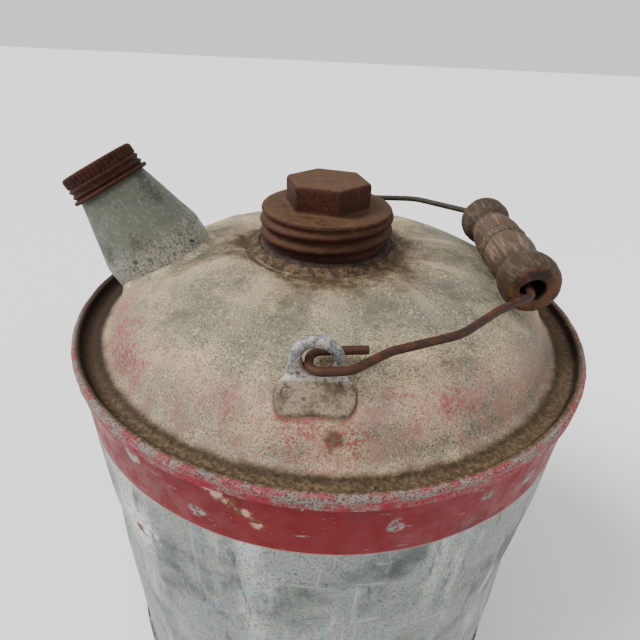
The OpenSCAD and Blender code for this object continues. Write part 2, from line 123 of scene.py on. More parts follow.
class GasCanSizes(bpy.types.PropertyGroup):
    """Sizes of the stamped sheets and of the small turned and bent pieces."""

    rim_w: length("Rim width", "Radial width of a rolled rim", 3.5)
    rim_h: length("Rim height", "Height of a rolled rim", 6)
    rim_round: length("Rim rounding", "Radius of a rim's crest", 1.2)
    sheet_t: length("Sheet", "Thickness of the stamped sheets", 0.9)
    recess: length("Bottom recess", "Depth of the bottom sheet above the floor", 7)
    gutter_depth: length("Gutter depth", "Depth of the gutter below the rim's crest", 4.4)
    gutter_w: length("Gutter width", "Width of the gutter's floor", 3.5)
    gutter_round: length("Gutter rounding", "Radius between the gutter's floor and the rim", 3)
    land_r: length("Land radius", "Radius of the flat land round the filler", 39)
    shoulder_r: length("Shoulder radius", "Radius of the dome's shoulder", 16)
    foot_r: length("Foot radius", "Radius at the foot of the dome's flank", 7)
    shoulder_start: turn("Shoulder start", "Slope at which the crown turns into the shoulder", 31)
    flank_slope: turn("Flank slope", "Slope of the dome's flank", 62)
    flute_count: IntProperty(name="Flutes", description="Stamped flutes round the filler", default=11)
    flute_h: length("Flute height", "Height of the ridges between the flutes", 1.3)
    dent: length("Dents", "Depth of the deepest dent in the wall", 2.4)
    band_w: length("Band width", "Width of the painted band under the rim", 25.3)
    cap_pitch: length("Cap pitch", "Pitch of the filler cap's thread", 5.9)
    rib_rise: length("Rib height", "Height of the filler cap's ribs over their mean radius", 1.15)
    hex_r: length("Boss radius", "Corner radius of the hexagonal boss", 19.8)
    hex_turn: turn("Boss turn", "Turn of the hexagonal boss", -12.6)
    spout_r: length("Spout radius", "Radius of the cone's wide end", 24.4)
    tip_r: length("Spout tip radius", "Radius of the cone's narrow end", 16)
    cone_len: length("Cone length", "Length of the spout's cone", 29)
    spout_pitch: length("Spout pitch", "Pitch of the spout cap's thread", 3.2)
    spout_cap_r: length("Spout cap radius", "Mean outer radius of the spout cap", 17)
    knurls: IntProperty(name="Knurls", description="Knurls round the spout cap", default=48)
    solder_w: length("Solder width", "Width of the solder round the spout's foot", 2.3)
    ear_t: length("Ear sheet", "Thickness of the ears' sheet", 1.5)
    eye_r: length("Eye radius", "Radius of an ear's eye", 4.9)
    bead_r: length("Bead radius", "Radius of the roll round an eye", 2.15)
    foot_half_w: length("Foot half width", "Half the width of an ear's foot plate", 13.3)
    foot_len: length("Foot length", "Length of an ear's foot plate", 11.2)
    wire_r: length("Wire radius", "Radius of the bail's wire", 1.6)
    grip_bore_r: length("Grip bore", "Radius of the grip's bore", 4.2)


class GasCanColours(bpy.types.PropertyGroup):
    """Colours of the finishes."""

    zinc_pale: colour("Pale zinc", "Scraped and bright zinc", (0.66, 0.67, 0.65))
    zinc: colour("Zinc", "Weathered zinc", (0.35, 0.37, 0.355))
    zinc_dark: colour("Dark zinc", "Stained zinc", (0.11, 0.13, 0.12))
    paint: colour("Paint", "Red paint of the band", (0.25, 0.001, 0.02))
    paint_worn: colour("Worn paint", "Chalky worn paint", (0.33, 0.05, 0.07))
    dust: colour("Dust", "Pale tan dust on the dome", (0.47, 0.38, 0.25))
    moss: colour("Grey-green", "Grey-green zinc on the dome", (0.225, 0.215, 0.155))
    dirt: colour("Dirt", "Brown dirt in the gutter", (0.085, 0.055, 0.03))
    # darkest dirt and holes; also the painted shade in creases, grooves, bores and under the caps
    soot_and_shade: colour("Soot", "Darkest dirt and holes", (0.018, 0.012, 0.008))
    rust: colour("Rust", "Dark rust of the caps", (0.05, 0.017, 0.008))
    rust_red: colour("Red rust", "Redder rust", (0.07, 0.023, 0.012))
    rust_orange: colour("Orange rust", "Fresh rust", (0.22, 0.085, 0.028))
    wood: colour("Wood", "Weathered wood", (0.105, 0.072, 0.047))
    wood_dark: colour("Dark wood", "Handled ends of the grip", (0.033, 0.02, 0.013))
    wood_bare: colour("Bare wood", "Bare end grain", (0.13, 0.06, 0.025))
    cork: colour("Cork", "Sealing rings", (0.2, 0.11, 0.05))
    floor: colour("Floor", "Plain floor", (0.8, 0.795, 0.79))


class GasCanStage(bpy.types.PropertyGroup):
    """The camera's place and lens, and the lights."""

    lens: FloatProperty(name="Lens", description="Focal length in mm", default=26.35)
    far: length("Distance", "From the middle of the top rim to the camera", 239.84)
    elevation: turn("Elevation", "Of the camera, seen from the middle of the top rim", 29.343)
    pan: turn("Pan", "Turn of the camera to the side", -1.03)
    tilt: turn("Tilt", "Turn of the camera up", -2.61)
    roll: turn("Roll", "Roll of the camera", 3.25)
    key: FloatProperty(name="Key light", description="Strength of the wide directed light", default=4.6)
    soft: turn("Softness", "Width of the directed light", 34)
    fill: FloatProperty(name="Fill light", description="Power in watts", default=2.5)
    sky: FloatProperty(name="Sky", description="Strength of the even light", default=1.0)


def sizes():
    return bpy.context.scene.gas_can_sizes


def colours():
    return bpy.context.scene.gas_can_colours


# ---- outlines ----


def slope_arc(start, radius, a0, a1, step=math.radians(6)):
    """Points (r, z, slope) of an arc from slope a0 to a1, after its start."""
    count = max(2, math.ceil(abs(a1 - a0) / step))
    side = 1 if a1 > a0 else -1
    angles = [a0 + (a1 - a0) * i / count for i in range(1, count + 1)]
    return [
        (
            start[0] + side * radius * (math.sin(a) - math.sin(a0)),
            start[1] + side * radius * (math.cos(a) - math.cos(a0)),
            a,
        )
        for a in angles
    ]


def straight(start, end, count):
    """Points (r, z, slope) of a straight stretch, after its start."""
    slope = math.atan2(start[1] - end[1], end[0] - start[0])
    return [
        (start[0] + (end[0] - start[0]) * i / count, start[1] + (end[1] - start[1]) * i / count, slope)
        for i in range(1, count + 1)
    ]


def dome_path(start_r):
    """The dome's outer surface from start_r to the edge of its foot; heights are above the floor."""
    s = sizes()
    crest = rim_crest()
    foot_edge = RIM_R - s.rim_w - s.gutter_round - s.gutter_w
    a0, a1 = s.shoulder_start, s.flank_slope
    span = foot_edge - s.land_r - s.shoulder_r * (math.sin(a1) - math.sin(a0)) - s.foot_r * math.sin(a1)
    drop = LAND_Z - crest + s.gutter_depth
    drop -= s.shoulder_r * (math.cos(a0) - math.cos(a1)) + s.foot_r * (1 - math.cos(a1))
    rise = 1 - math.cos(a0)
    det = math.sin(a0) * math.sin(a1) - rise * math.cos(a1)
    crown_r = (span * math.sin(a1) - drop * math.cos(a1)) / det
    flank = (drop * math.sin(a0) - span * rise) / det
    path = [(start_r, LAND_Z, 0.0)]
    path += straight(path[-1], (s.land_r, LAND_Z), 5)
    path += slope_arc(path[-1], crown_r, 0, a0, math.radians(1.1))
    path += slope_arc(path[-1], s.shoulder_r, a0, a1, math.radians(3.5))
    end = (path[-1][0] + flank * math.cos(a1), path[-1][1] - flank * math.sin(a1))
    path += straight(path[-1], end, 5)
    path += slope_arc(path[-1], s.foot_r, a1, 0)
    return path


def rim_crest():
    """Height of the top rim's crest."""
    return TOP_LOW.z + sizes().rim_h


def rim_path(start):
    """A rolled rim from the gutter's floor, over its crest and down to its lower edge."""
    s = sizes()
    inner = RIM_R - s.rim_w
    crest = start[1] + s.gutter_depth if start[1] > s.recess * 2 else start[1] + s.recess
    path = straight(start, (inner - s.gutter_round, start[1]), 2)
    path += slope_arc(path[-1], s.gutter_round, 0, -math.pi / 2)
    path += straight(path[-1], (inner, crest - s.rim_round), 1)
    path += slope_arc(path[-1], s.rim_round, -math.pi / 2, 0, math.radians(22))
    path += straight(path[-1], (RIM_R - s.rim_round, crest), 1)
    path += slope_arc(path[-1], s.rim_round, 0, math.pi / 2, math.radians(22))
    path += straight(path[-1], (RIM_R, crest - s.rim_h + 0.4 * MM), 4)
    return path


def sheet_loop(path, thick):
    """A closed outline: the path, and back along it on the sheet's other side."""
    back = [(r - thick * math.sin(a), z - thick * math.cos(a), a) for r, z, a in reversed(path)]
    return path + back


def dome_height(r):
    """Height of the smooth dome at a radius."""
    path = np.array(dome_path(0.0))[:, :2]
    return np.interp(r, path[:, 0], path[:, 1])


# ---- meshes ----


def mesh_object(name, verts, faces, sharp=40):
    """A mesh object with merged doubles, outward normals and edges kept sharp over an angle."""
    mesh = bpy.data.meshes.new(name)
    mesh.from_pydata(verts, [], faces)
    work = bmesh.new()
    work.from_mesh(mesh)
    bmesh.ops.remove_doubles(work, verts=work.verts, dist=0.5e-6)
    bmesh.ops.recalc_face_normals(work, faces=work.faces)
    work.to_mesh(mesh)
    work.free()
    mesh.shade_smooth()
    mesh.set_sharp_from_angle(angle=math.radians(sharp))
    piece = bpy.data.objects.new(name, mesh)
    bpy.context.scene.collection.objects.link(piece)
    return piece


def grid_faces(rows, columns, close_rows):
    """Quads of a grid whose columns close on themselves, and whose rows do if asked."""
    faces = []
    for i in range(rows if close_rows else rows - 1):
        k = (i + 1) % rows
        for j in range(columns):
            n = (j + 1) % columns
            faces.append((i * columns + j, i * columns + n, k * columns + n, k * columns + j))
    return faces


def revolved(name, loop, count, shift=None, sharp=40, place=None):
    """A closed outline of (r, z, slope) turned about Z. shift(r, z, angle) returns a lift along the
    outline's normal, a push outward and a move along X, each an array or a number."""
    outline = np.array(loop)
    angle = np.linspace(0, math.tau, count, endpoint=False)[None, :]
    r, z, slope = (outline[:, i][:, None] + 0 * angle for i in range(3))
    angle = angle + 0 * r
    lift, push, move = shift(r, z, angle) if shift else (0, 0, 0)
    radius = r + lift * np.sin(slope) + push
    height = z + lift * np.cos(slope)
    points = np.stack([radius * np.cos(angle) + move, radius * np.sin(angle), height + 0 * angle], -1)
    verts = points.reshape(-1, 3)
    if place is not None:
        turned = np.array(place.to_3x3())
        verts = verts @ turned.T + np.array(place.translation)
    return mesh_object(name, verts.tolist(), grid_faces(len(loop), count, True), sharp)


def hoops(name, rings, sharp):
    """Rings of points joined one to the next, and the last to the first."""
    faces = grid_faces(len(rings), len(rings[0]), True)
    return mesh_object(name, np.concatenate(rings).tolist(), faces, sharp)


def smooth(value, low, high):
    """Smooth step from 0 at low to 1 at high."""
    t = np.clip((value - low) / (high - low), 0, 1)
    return t * t * (3 - 2 * t)


def field(x, y, z, scale, seed=0.0):
    """Smooth noise of about -1 to 1 at arrays of points, with features of 1 / scale metres."""
    points = np.stack(np.broadcast_arrays(x, y, z), -1).reshape(-1, 3) * scale + seed
    values = [noise.noise(Vector(p)) for p in points]
    return np.array(values).reshape(np.broadcast_arrays(x, y, z)[0].shape)


def bump_at(angle, z, where, height, wide, tall):
    """A rounded hollow on a wall: 1 in its middle, at an angle and a height."""
    around = (angle - where + math.pi) % math.tau - math.pi
    return np.exp(-((around * RIM_R / wide) ** 2) - ((z - height) / tall) ** 2)


def finish_piece(piece, body, slot, material, *nodes):
    """Gives a piece its material and body, and hides the CAD nodes it stands for. The slot is not used."""
    piece.data.materials.clear()
    piece.data.materials.append(material)
    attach(piece, body)
    if nodes:
        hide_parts(*nodes)
    return piece


def dress_node(node, material):
    """Gives a CAD node that is shown as it is a material."""
    mesh = frame["nodes"][node].data
    mesh.materials.clear()
    mesh.materials.append(material)


# ---- materials ----


class Finish:
    """Builds one material's nodes. Every pattern is laid out in the can's own frame."""

    def __init__(self, name):
        self.material = bpy.data.materials.new(name)
        self.material.use_nodes = True
        self.tree = self.material.node_tree
        self.shader = self.tree.nodes["Principled BSDF"]
        self.place = self.add("ShaderNodeTexCoord").outputs["Object"]
        split = self.add("ShaderNodeSeparateXYZ", self.place)
        self.x, self.y, self.z = split.outputs
        self.r = self.hypot(self.x, self.y)

    def add(self, kind, *inputs, **settings):
        node = self.tree.nodes.new(kind)
        for key, value in settings.items():
            setattr(node, key, value)
        for socket, value in zip(node.inputs, inputs):
            self.feed(socket, value)
        return node

    def feed(self, socket, value):
        if isinstance(value, bpy.types.NodeSocket):
            self.tree.links.new(value, socket)
        elif value is not None:
            if getattr(socket, "type", "") == "RGBA" and len(value) == 3:
                value = (*value, 1.0)
            socket.default_value = value

    def sum(self, operation, a, b=None, clamp=False):
        return self.add("ShaderNodeMath", a, b, operation=operation, use_clamp=clamp).outputs[0]

    def hypot(self, a, b):
        return self.sum("SQRT", self.sum("ADD", self.sum("POWER", a, 2), self.sum("POWER", b, 2)))

    def frayed(self, value, by, reach):
        """A value pushed up and down by a noise, over a reach."""
        return self.sum("ADD", value, self.sum("MULTIPLY", self.sum("SUBTRACT", by, 0.5), reach))

    def away(self, point):
        """Distance from a point."""
        return self.add("ShaderNodeVectorMath", self.place, point, operation="DISTANCE").outputs["Value"]

    def stretched(self, along, seed=0.0):
        """The place, scaled along its three axes and moved by a seed."""
        node = self.add("ShaderNodeMapping", self.place)
        node.inputs["Scale"].default_value = along
        node.inputs["Location"].default_value = (seed, seed * 0.7, -seed)
        return node.outputs[0]

    def noise(self, scale, detail=4.0, rough=0.6, along=(1, 1, 1), seed=0.0, twist=0.0):
        node = self.add("ShaderNodeTexNoise")
        self.feed(node.inputs["Vector"], self.stretched(along, seed))
        names = ("Scale", "Detail", "Roughness", "Distortion")
        for name, value in zip(names, (scale, detail, rough, twist)):
            node.inputs[name].default_value = value
        return node.outputs[0]

    def cells(self, scale, along=(1, 1, 1), seed=0.0, feature="F1", out="Distance"):
        node = self.add("ShaderNodeTexVoronoi", feature=feature)
        self.feed(node.inputs["Vector"], self.stretched(along, seed))
        node.inputs["Scale"].default_value = scale
        return node.outputs[out]

    def step(self, value, low, high, bottom=0.0, top=1.0):
        """Goes smoothly from bottom to top as the value goes from low to high."""
        node = self.add("ShaderNodeMapRange", value, low, high, bottom, top, interpolation_type="SMOOTHSTEP")
        return node.outputs[0]

    def between(self, value, low, high, soft):
        """1 between low and high, with soft edges."""
        return self.both(self.step(value, low - soft, low + soft), self.step(value, high + soft, high - soft))

    def both(self, a, b):
        return self.sum("MULTIPLY", a, b)

    def either(self, a, b):
        return self.sum("MAXIMUM", a, b)

    def near(self, point, radius, soft=0.6, ragged=None):
        """1 near a point, fading over its radius; ragged is a noise that breaks the edge up."""
        away = self.away(point)
        if ragged is not None:
            away = self.frayed(away, ragged, radius * 1.6)
        return self.step(away, radius, radius * (1 - soft))

    def mix(self, a, b, share_of_b, blend="MIX"):
        node = self.add("ShaderNodeMix", data_type="RGBA", blend_type=blend)
        self.feed(node.inputs[0], share_of_b)
        self.feed(node.inputs[6], a)
        self.feed(node.inputs[7], b)
        return node.outputs[2]

    def blend(self, a, b, share_of_b):
        """Between two plain values."""
        node = self.add("ShaderNodeMix", data_type="FLOAT")
        self.feed(node.inputs[0], share_of_b)
        self.feed(node.inputs[2], a)
        self.feed(node.inputs[3], b)
        return node.outputs[0]

    def coats(self, tone, *coats):
        """Coats of (colour, where, strength) laid over a tone, one over the other."""
        for coat, where, strength in coats:
            tone = self.mix(tone, coat, self.both(where, strength))
        return tone

    def relief(self, *layers):
        """Bumps from (height value, distance in metres) layers, laid one over the other."""
        normal = None
        for value, distance in layers:
            node = self.add("ShaderNodeBump")
            node.inputs["Distance"].default_value = distance
            node.inputs["Strength"].default_value = 1.0
            self.feed(node.inputs["Height"], value)
            if normal is not None:
                self.tree.links.new(normal, node.inputs["Normal"])
            normal = node.outputs[0]
        self.tree.links.new(normal, self.shader.inputs["Normal"])

    def done(self, colour_value, roughness, metallic=0.0, specular=0.5, depth=1.22):
        """Deepens the colour and joins everything to the shader."""
        if isinstance(colour_value, bpy.types.NodeSocket):
            colour_value = self.add("ShaderNodeGamma", colour_value, depth).outputs[0]
        self.feed(self.shader.inputs["Base Color"], colour_value)
        self.feed(self.shader.inputs["Roughness"], roughness)
        self.feed(self.shader.inputs["Metallic"], metallic)
        self.shader.inputs["Specular IOR Level"].default_value = specular
        return self.material


def zinc_layers(f, seed=0.0):
    """Colour of streaked, spangled weathered zinc."""
    c = colours()
    streak = f.noise(38, 6, 0.65, (1, 1, 0.22), seed)
    cloud = f.noise(22, 5, 0.6, (1, 1, 1), seed + 3)
    spangle = f.cells(210, (1, 1, 0.8), seed, out="Color")
    grey = f.mix(c.zinc_dark, c.zinc, f.step(cloud, 0.3, 0.54))
    grey = f.mix(grey, c.zinc_pale, f.both(f.step(streak, 0.48, 0.66), 0.6))
    speck = f.noise(1100, 3, 0.75, (1, 1, 0.7), seed + 5)
    grey = f.mix(grey, c.zinc_dark, f.both(f.step(speck, 0.5, 0.62), 0.55))
    thin = f.noise(150, 5, 0.7, (1, 1, 0.12), seed + 8, 0.4)
    grey = f.coats(
        grey,
        (c.zinc_pale, f.step(thin, 0.56, 0.7), 0.45),
        (c.zinc_dark, f.step(f.noise(130, 5, 0.7, (1, 1, 0.2), seed + 12), 0.58, 0.66), 0.6),
    )
    return f.mix(grey, spangle, 0.045, "OVERLAY")


# Marks on the wall, as (angle round the can in degrees, height in millimetres), and the scuffs' radii
SCRATCH = ((252.2, 210), (254.2, 207.4), (256.2, 204.6), (258.3, 201.2), (260.4, 197.4))
SCUFFS = (
    ((249.8, 193.6), 4),
    ((298.9, 201), 3.4),
    ((282.3, 199), 4),
    ((236, 205), 5),
    ((311, 196), 5),
    ((95, 200), 6),
)
# Dents in the wall: angle in degrees, height, width and tallness in metres, share of the deepest
DENTS = (
    (214, 0.127, 0.020, 0.012, 1.0),
    (228, 0.118, 0.030, 0.010, 0.5),
    (326, 0.105, 0.045, 0.030, 0.95),
    (300, 0.075, 0.035, 0.022, 0.5),
    (255, 0.060, 0.040, 0.018, 0.6),
    (40, 0.120, 0.040, 0.030, 0.6),
    (135, 0.080, 0.045, 0.025, 0.8),
    (20, 0.060, 0.030, 0.020, 0.5),
    (178, 0.150, 0.030, 0.020, 0.4),
)


def on_wall(degrees, height):
    """A point on the wall's outside."""
    angle = math.radians(degrees)
    return (WALL_R * math.cos(angle), WALL_R * math.sin(angle), height * MM)


def wall_finish():
    """Galvanised wall with the worn red band painted under the top rim."""
    s, c = sizes(), colours()
    f = Finish("galvanised_wall")
    fine = f.noise(900, 3, 0.7)
    ragged = f.noise(120, 5, 0.65)
    scrape = f.noise(60, 5, 0.7, (0.35, 0.35, 3.2), 7, 0.6)
    cloudy = f.noise(17, 4, 0.6, (1, 1, 1), 17)
    zinc = zinc_layers(f)
    zinc = f.coats(
        zinc,
        (c.zinc_pale, f.both(f.step(scrape, 0.6, 0.68), f.step(cloudy, 0.45, 0.6)), 0.5),
        (c.zinc_dark, f.step(f.noise(75, 5, 0.7, (1, 1, 0.4), 11), 0.58, 0.72), 0.6),
    )
    pits = f.both(f.step(f.cells(260, seed=5), 0.2, 0.08), f.step(f.noise(30, seed=9), 0.52, 0.6))
    zinc = f.mix(zinc, c.soot_and_shade, f.both(pits, 0.7))
    rusty = f.both(f.step(f.noise(34, 6, 0.7, seed=21), 0.62, 0.72), f.step(ragged, 0.42, 0.6))
    zinc = f.mix(zinc, c.rust_orange, f.both(rusty, 0.6))
    low = f.step(f.z, 26 * MM, 4 * MM)
    zinc = f.mix(zinc, c.dirt, f.both(low, f.step(ragged, 0.3, 0.7)))

    red = f.mix(c.paint, c.paint_worn, f.both(f.step(f.noise(46, 6, 0.7, (1, 1, 1.6), 31), 0.58, 0.76), 0.6))
    red = f.coats(
        red,
        (c.paint_worn, f.step(fine, 0.62, 0.76), 0.35),
        ((0.16, 0.004, 0.012), f.step(f.noise(28, 4, 0.6, seed=41), 0.5, 0.72), 0.55),
    )
    band_top = rim_crest() - s.rim_h
    height = f.frayed(f.z, f.noise(35, 4, 0.6, (1, 1, 0.1), 51), 0.9 * MM)
    band = f.both(
        f.between(height, band_top - s.band_w, band_top + 3.4 * MM, 0.15 * MM),
        f.step(f.r, WALL_R - 4 * MM, WALL_R - 3 * MM),
    )
    chips = f.step(f.noise(150, 6, 0.75, (1, 1, 1.3), 61, 0.8), 0.672, 0.69)
    lines = f.step(f.noise(95, 4, 0.6, (1, 1, 9), 71), 0.668, 0.69)
    upper = f.both(f.step(f.z, band_top - 4 * MM, band_top + 1 * MM), f.step(ragged, 0.54, 0.64))
    worn = f.either(f.either(chips, f.both(lines, 0.8)), f.both(upper, 0.7))
    edge = f.between(height, band_top - s.band_w - 0.2 * MM, band_top - s.band_w + 0.5 * MM, 0.15 * MM)
    red = f.mix(red, (0.55, 0.42, 0.42), f.both(edge, 0.55))
    bare = f.noise(330, 5, 0.75, (1, 1, 1), 81)
    for place, radius in SCUFFS:
        scuff = f.near(on_wall(*place), radius * MM, 0.5, ragged)
        worn = f.either(worn, f.both(scuff, f.step(bare, 0.4, 0.55)))
    scratch = functools.reduce(f.either, (f.near(on_wall(*p), 3.6 * MM, 0.5, bare) for p in SCRATCH))
    painted = f.both(band, f.sum("SUBTRACT", 1.0, f.both(worn, 0.9), True))
    scraped = f.near(on_wall(232, 158), 17 * MM, 0.6, ragged)
    zinc = f.mix(zinc, c.zinc_pale, f.both(scraped, f.step(bare, 0.42, 0.58)))
    zinc = f.mix(zinc, c.rust_orange, f.near(on_wall(231.8, 155), 3.4 * MM, 0.5, bare))
    tone = f.mix(zinc, red, painted)
    tone = f.mix(tone, f.mix((0.5, 0.36, 0.3), c.rust_orange, f.step(ragged, 0.46, 0.52)), scratch)
    rough = f.blend(f.step(fine, 0.3, 0.7, 0.42, 0.62), f.step(ragged, 0.35, 0.65, 0.34, 0.55), painted)
    f.relief((f.noise(26, 3, 0.5), 0.9 * MM), (f.both(painted, 1.0), 0.09 * MM), (fine, 0.05 * MM))
    return f.done(tone, rough, f.blend(0.25, 0.0, painted), 0.12, 1.5)


def dome_finish():
    """Dusty galvanised dome, faded paint at its foot, dirt and painted shade in the gutter, painted shade and
    highlights round the filler and the ears, and a worn rolled rim.
    """
    s, c = sizes(), colours()
    f = Finish("galvanised_dome")
    grain = f.noise(1500, 2, 0.75)
    fine = f.noise(620, 3, 0.7, seed=2)
    ragged = f.noise(130, 5, 0.68, seed=4)
    cloud = f.noise(26, 6, 0.62, seed=6)
    wide = f.noise(11, 4, 0.55, seed=8)
    foot_edge = RIM_R - s.rim_w - s.gutter_round - s.gutter_w
    rim_in = RIM_R - s.rim_w

    tone = f.mix(c.moss, c.dust, f.step(cloud, 0.4, 0.58))
    greyer = f.both(f.step(wide, 0.48, 0.6), f.step(ragged, 0.35, 0.6, 0.35, 0.8))
    tone = f.mix(tone, (0.2, 0.21, 0.175), greyer)
    warm = f.step(f.r, 74 * MM, 36 * MM)
    tone = f.coats(
        tone,
        ((0.25, 0.185, 0.11), warm, f.step(cloud, 0.7, 0.35, 0.3, 0.85)),
        ((0.55, 0.48, 0.37), f.step(fine, 0.54, 0.68), 0.6),
        (c.dirt, f.step(grain, 0.49, 0.6), 0.7),
        ((0.62, 0.56, 0.45), f.step(f.noise(1300, 2, 0.7, seed=44), 0.58, 0.68), 0.55),
        ((0.15, 0.12, 0.08), f.step(ragged, 0.52, 0.66), 0.55),
        (c.soot_and_shade, f.both(f.step(f.cells(330, seed=3), 0.16, 0.06), f.step(ragged, 0.5, 0.6)), 0.6),
    )

    fx = f.sum("SUBTRACT", f.x, FILLER.x)
    reach = f.hypot(fx, f.y)
    turned = f.frayed(f.sum("ARCTAN2", f.y, fx), cloud, 0.16)
    wave = f.sum("SINE", f.sum("MULTIPLY", f.sum("ADD", turned, math.radians(92)), s.flute_count))
    fade = f.both(f.step(reach, 40 * MM, 48 * MM), f.step(reach, 84 * MM, 60 * MM))
    # painted shade in the flute valleys and painted highlight along the flute ridges
    flute_valley_shade = f.both(f.both(f.step(wave, 0.2, -0.9), fade), f.step(ragged, 0.38, 0.58, 0.2, 1.0))
    tone = f.mix(tone, (0.115, 0.12, 0.095), f.both(flute_valley_shade, 0.6))
    crest = f.both(f.both(f.step(wave, 0.55, 0.98), fade), f.step(ragged, 0.3, 0.6, 0.3, 1.0))
    tone = f.mix(tone, (0.5, 0.43, 0.31), f.both(crest, 0.45))
    # painted shade in the stamped groove round the land, darker on the left side
    stamped = f.between(reach, 36.2 * MM, 38 * MM, 1.1 * MM)
    left = f.step(f.sum("SUBTRACT", f.x, f.both(f.y, 0.3)), 20 * MM, -20 * MM, 0.35, 0.95)
    tone = f.mix(tone, (0.03, 0.02, 0.012), f.both(f.both(stamped, left), f.step(ragged, 0.3, 0.5, 0.5, 1.0)))
    # painted shadow of each ear's foot plate: a rounded dark outline round the plate, on the side away from the
    # ear
    far_y = f.sum("ABSOLUTE", f.y)
    side_x = f.sum("SUBTRACT", f.sum("ABSOLUTE", f.sum("SUBTRACT", f.x, EAR_X)), s.foot_half_w)
    side_y = f.sum("SUBTRACT", f.sum("ABSOLUTE", f.sum("SUBTRACT", far_y, FOOT_Y)), s.foot_len / 2)
    over = [f.sum("MAXIMUM", f.sum("ADD", side, FOOT_CORNER), 0.0) for side in (side_x, side_y)]
    ring = f.step(f.hypot(*over), FOOT_CORNER + 1.3 * MM, FOOT_CORNER + 0.1 * MM)
    outline = f.both(ring, f.step(far_y, 88 * MM, 91 * MM))
    tone = f.mix(tone, (0.06, 0.04, 0.025), f.both(outline, f.step(ragged, 0.3, 0.55, 0.3, 0.95)))
    drip = f.near((3.5 * MM, -101 * MM, float(dome_height(101 * MM))), 4.5 * MM, 0.6, ragged)
    tone = f.mix(tone, (0.07, 0.045, 0.025), f.both(drip, 0.8))

    pink_ring = f.between(f.r, 92 * MM, foot_edge - 2 * MM, 7 * MM)
    tone = f.mix(tone, (0.42, 0.23, 0.19), f.both(f.both(pink_ring, f.step(ragged, 0.36, 0.6)), 0.45))
    blotch = f.both(f.step(f.noise(30, 5, 0.7, seed=14), 0.5, 0.62), f.step(fine, 0.44, 0.62))
    tone = f.mix(tone, (0.27, 0.03, 0.055), f.both(f.both(pink_ring, blotch), 0.75))

    filler = (FILLER.x, FILLER.y, LAND_Z)
    for reach, amount in ((47 * MM, 0.75), (40 * MM, 0.9)):
        caked = f.both(f.step(ragged, 0.3, 0.6), amount)
        tone = f.mix(tone, c.dirt, f.both(f.near(filler, reach, 0.16, cloud), caked))
    foot = SPOUT_MOUTH - SPOUT_AXIS * 42 * MM
    stain = f.near(tuple(foot), 34 * MM, 0.35, ragged)
    tone = f.mix(tone, (0.3, 0.2, 0.11), f.both(stain, 0.55))
    spots = f.both(f.step(f.noise(58, 5, 0.7, seed=24), 0.655, 0.7), f.step(f.r, 108 * MM, 100 * MM))
    tone = f.mix(tone, c.rust_orange, f.both(spots, 0.5))

    gutter = f.step(f.frayed(f.r, ragged, 3 * MM), foot_edge - 4.2 * MM, foot_edge - 0.8 * MM)
    bed = f.mix(c.dirt, (0.17, 0.125, 0.075), f.step(fine, 0.4, 0.66))
    # painted shade on the gutter's left side, where the rim's inner wall shades it
    shaded_gutter_side = f.step(f.sum("ADD", f.x, f.sum("MULTIPLY", f.y, -0.25)), -40 * MM, -95 * MM)
    bed = f.coats(
        bed,
        ((0.055, 0.032, 0.02), shaded_gutter_side, 0.8),
        (c.soot_and_shade, f.step(f.noise(420, 3, 0.7, seed=15), 0.6, 0.68), 0.85),
    )
    # painted shade in the creases at the dome's foot and at the foot of the rim's inner wall
    crease_shade = f.either(
        f.both(f.between(f.r, foot_edge - 1.5 * MM, foot_edge + 0.6 * MM, 1.6 * MM), 0.55),
        f.both(f.between(f.r, rim_in - 1.2 * MM, rim_in + 0.4 * MM, 0.6 * MM), 0.9),
    )
    bed = f.mix(bed, c.soot_and_shade, f.both(crease_shade, f.step(ragged, 0.25, 0.6, 0.5, 1.0)))
    tone = f.mix(tone, bed, gutter)

    outside = f.step(f.frayed(f.r, fine, 1.2 * MM), rim_in + 0.9 * MM, rim_in + 2.1 * MM)
    front = f.step(f.sum("ADD", f.y, f.sum("MULTIPLY", f.x, -0.15)), 30 * MM, -30 * MM)
    flakes = f.step(f.noise(120, 5, 0.7, (1, 1, 2.5), 33), 0.44, 0.58)
    worn = f.mix((0.24, 0.21, 0.185), (0.3, 0.08, 0.09), flakes)
    worn = f.coats(
        worn,
        ((0.4, 0.36, 0.32), f.step(fine, 0.58, 0.7), 0.7),
        ((0.05, 0.035, 0.03), f.step(grain, 0.48, 0.6), 0.8),
    )
    rear = f.mix(c.rust, c.rust_red, f.step(ragged, 0.4, 0.65))
    tone = f.mix(tone, f.mix(rear, worn, front), outside)
    outermost = f.step(f.r, RIM_R - 1.0 * MM, RIM_R - 0.4 * MM)
    side = f.both(outermost, f.step(f.z, rim_crest() - 1.6 * MM, rim_crest() - 3.4 * MM))
    tone = f.mix(tone, c.paint, f.both(side, f.both(f.step(ragged, 0.38, 0.56), 0.75)))

    rough = f.step(fine, 0.3, 0.7, 0.55, 0.85)
    f.relief((cloud, 0.5 * MM), (ragged, 0.16 * MM), (grain, 0.12 * MM))
    return f.done(tone, rough, 0.0, 0.2)


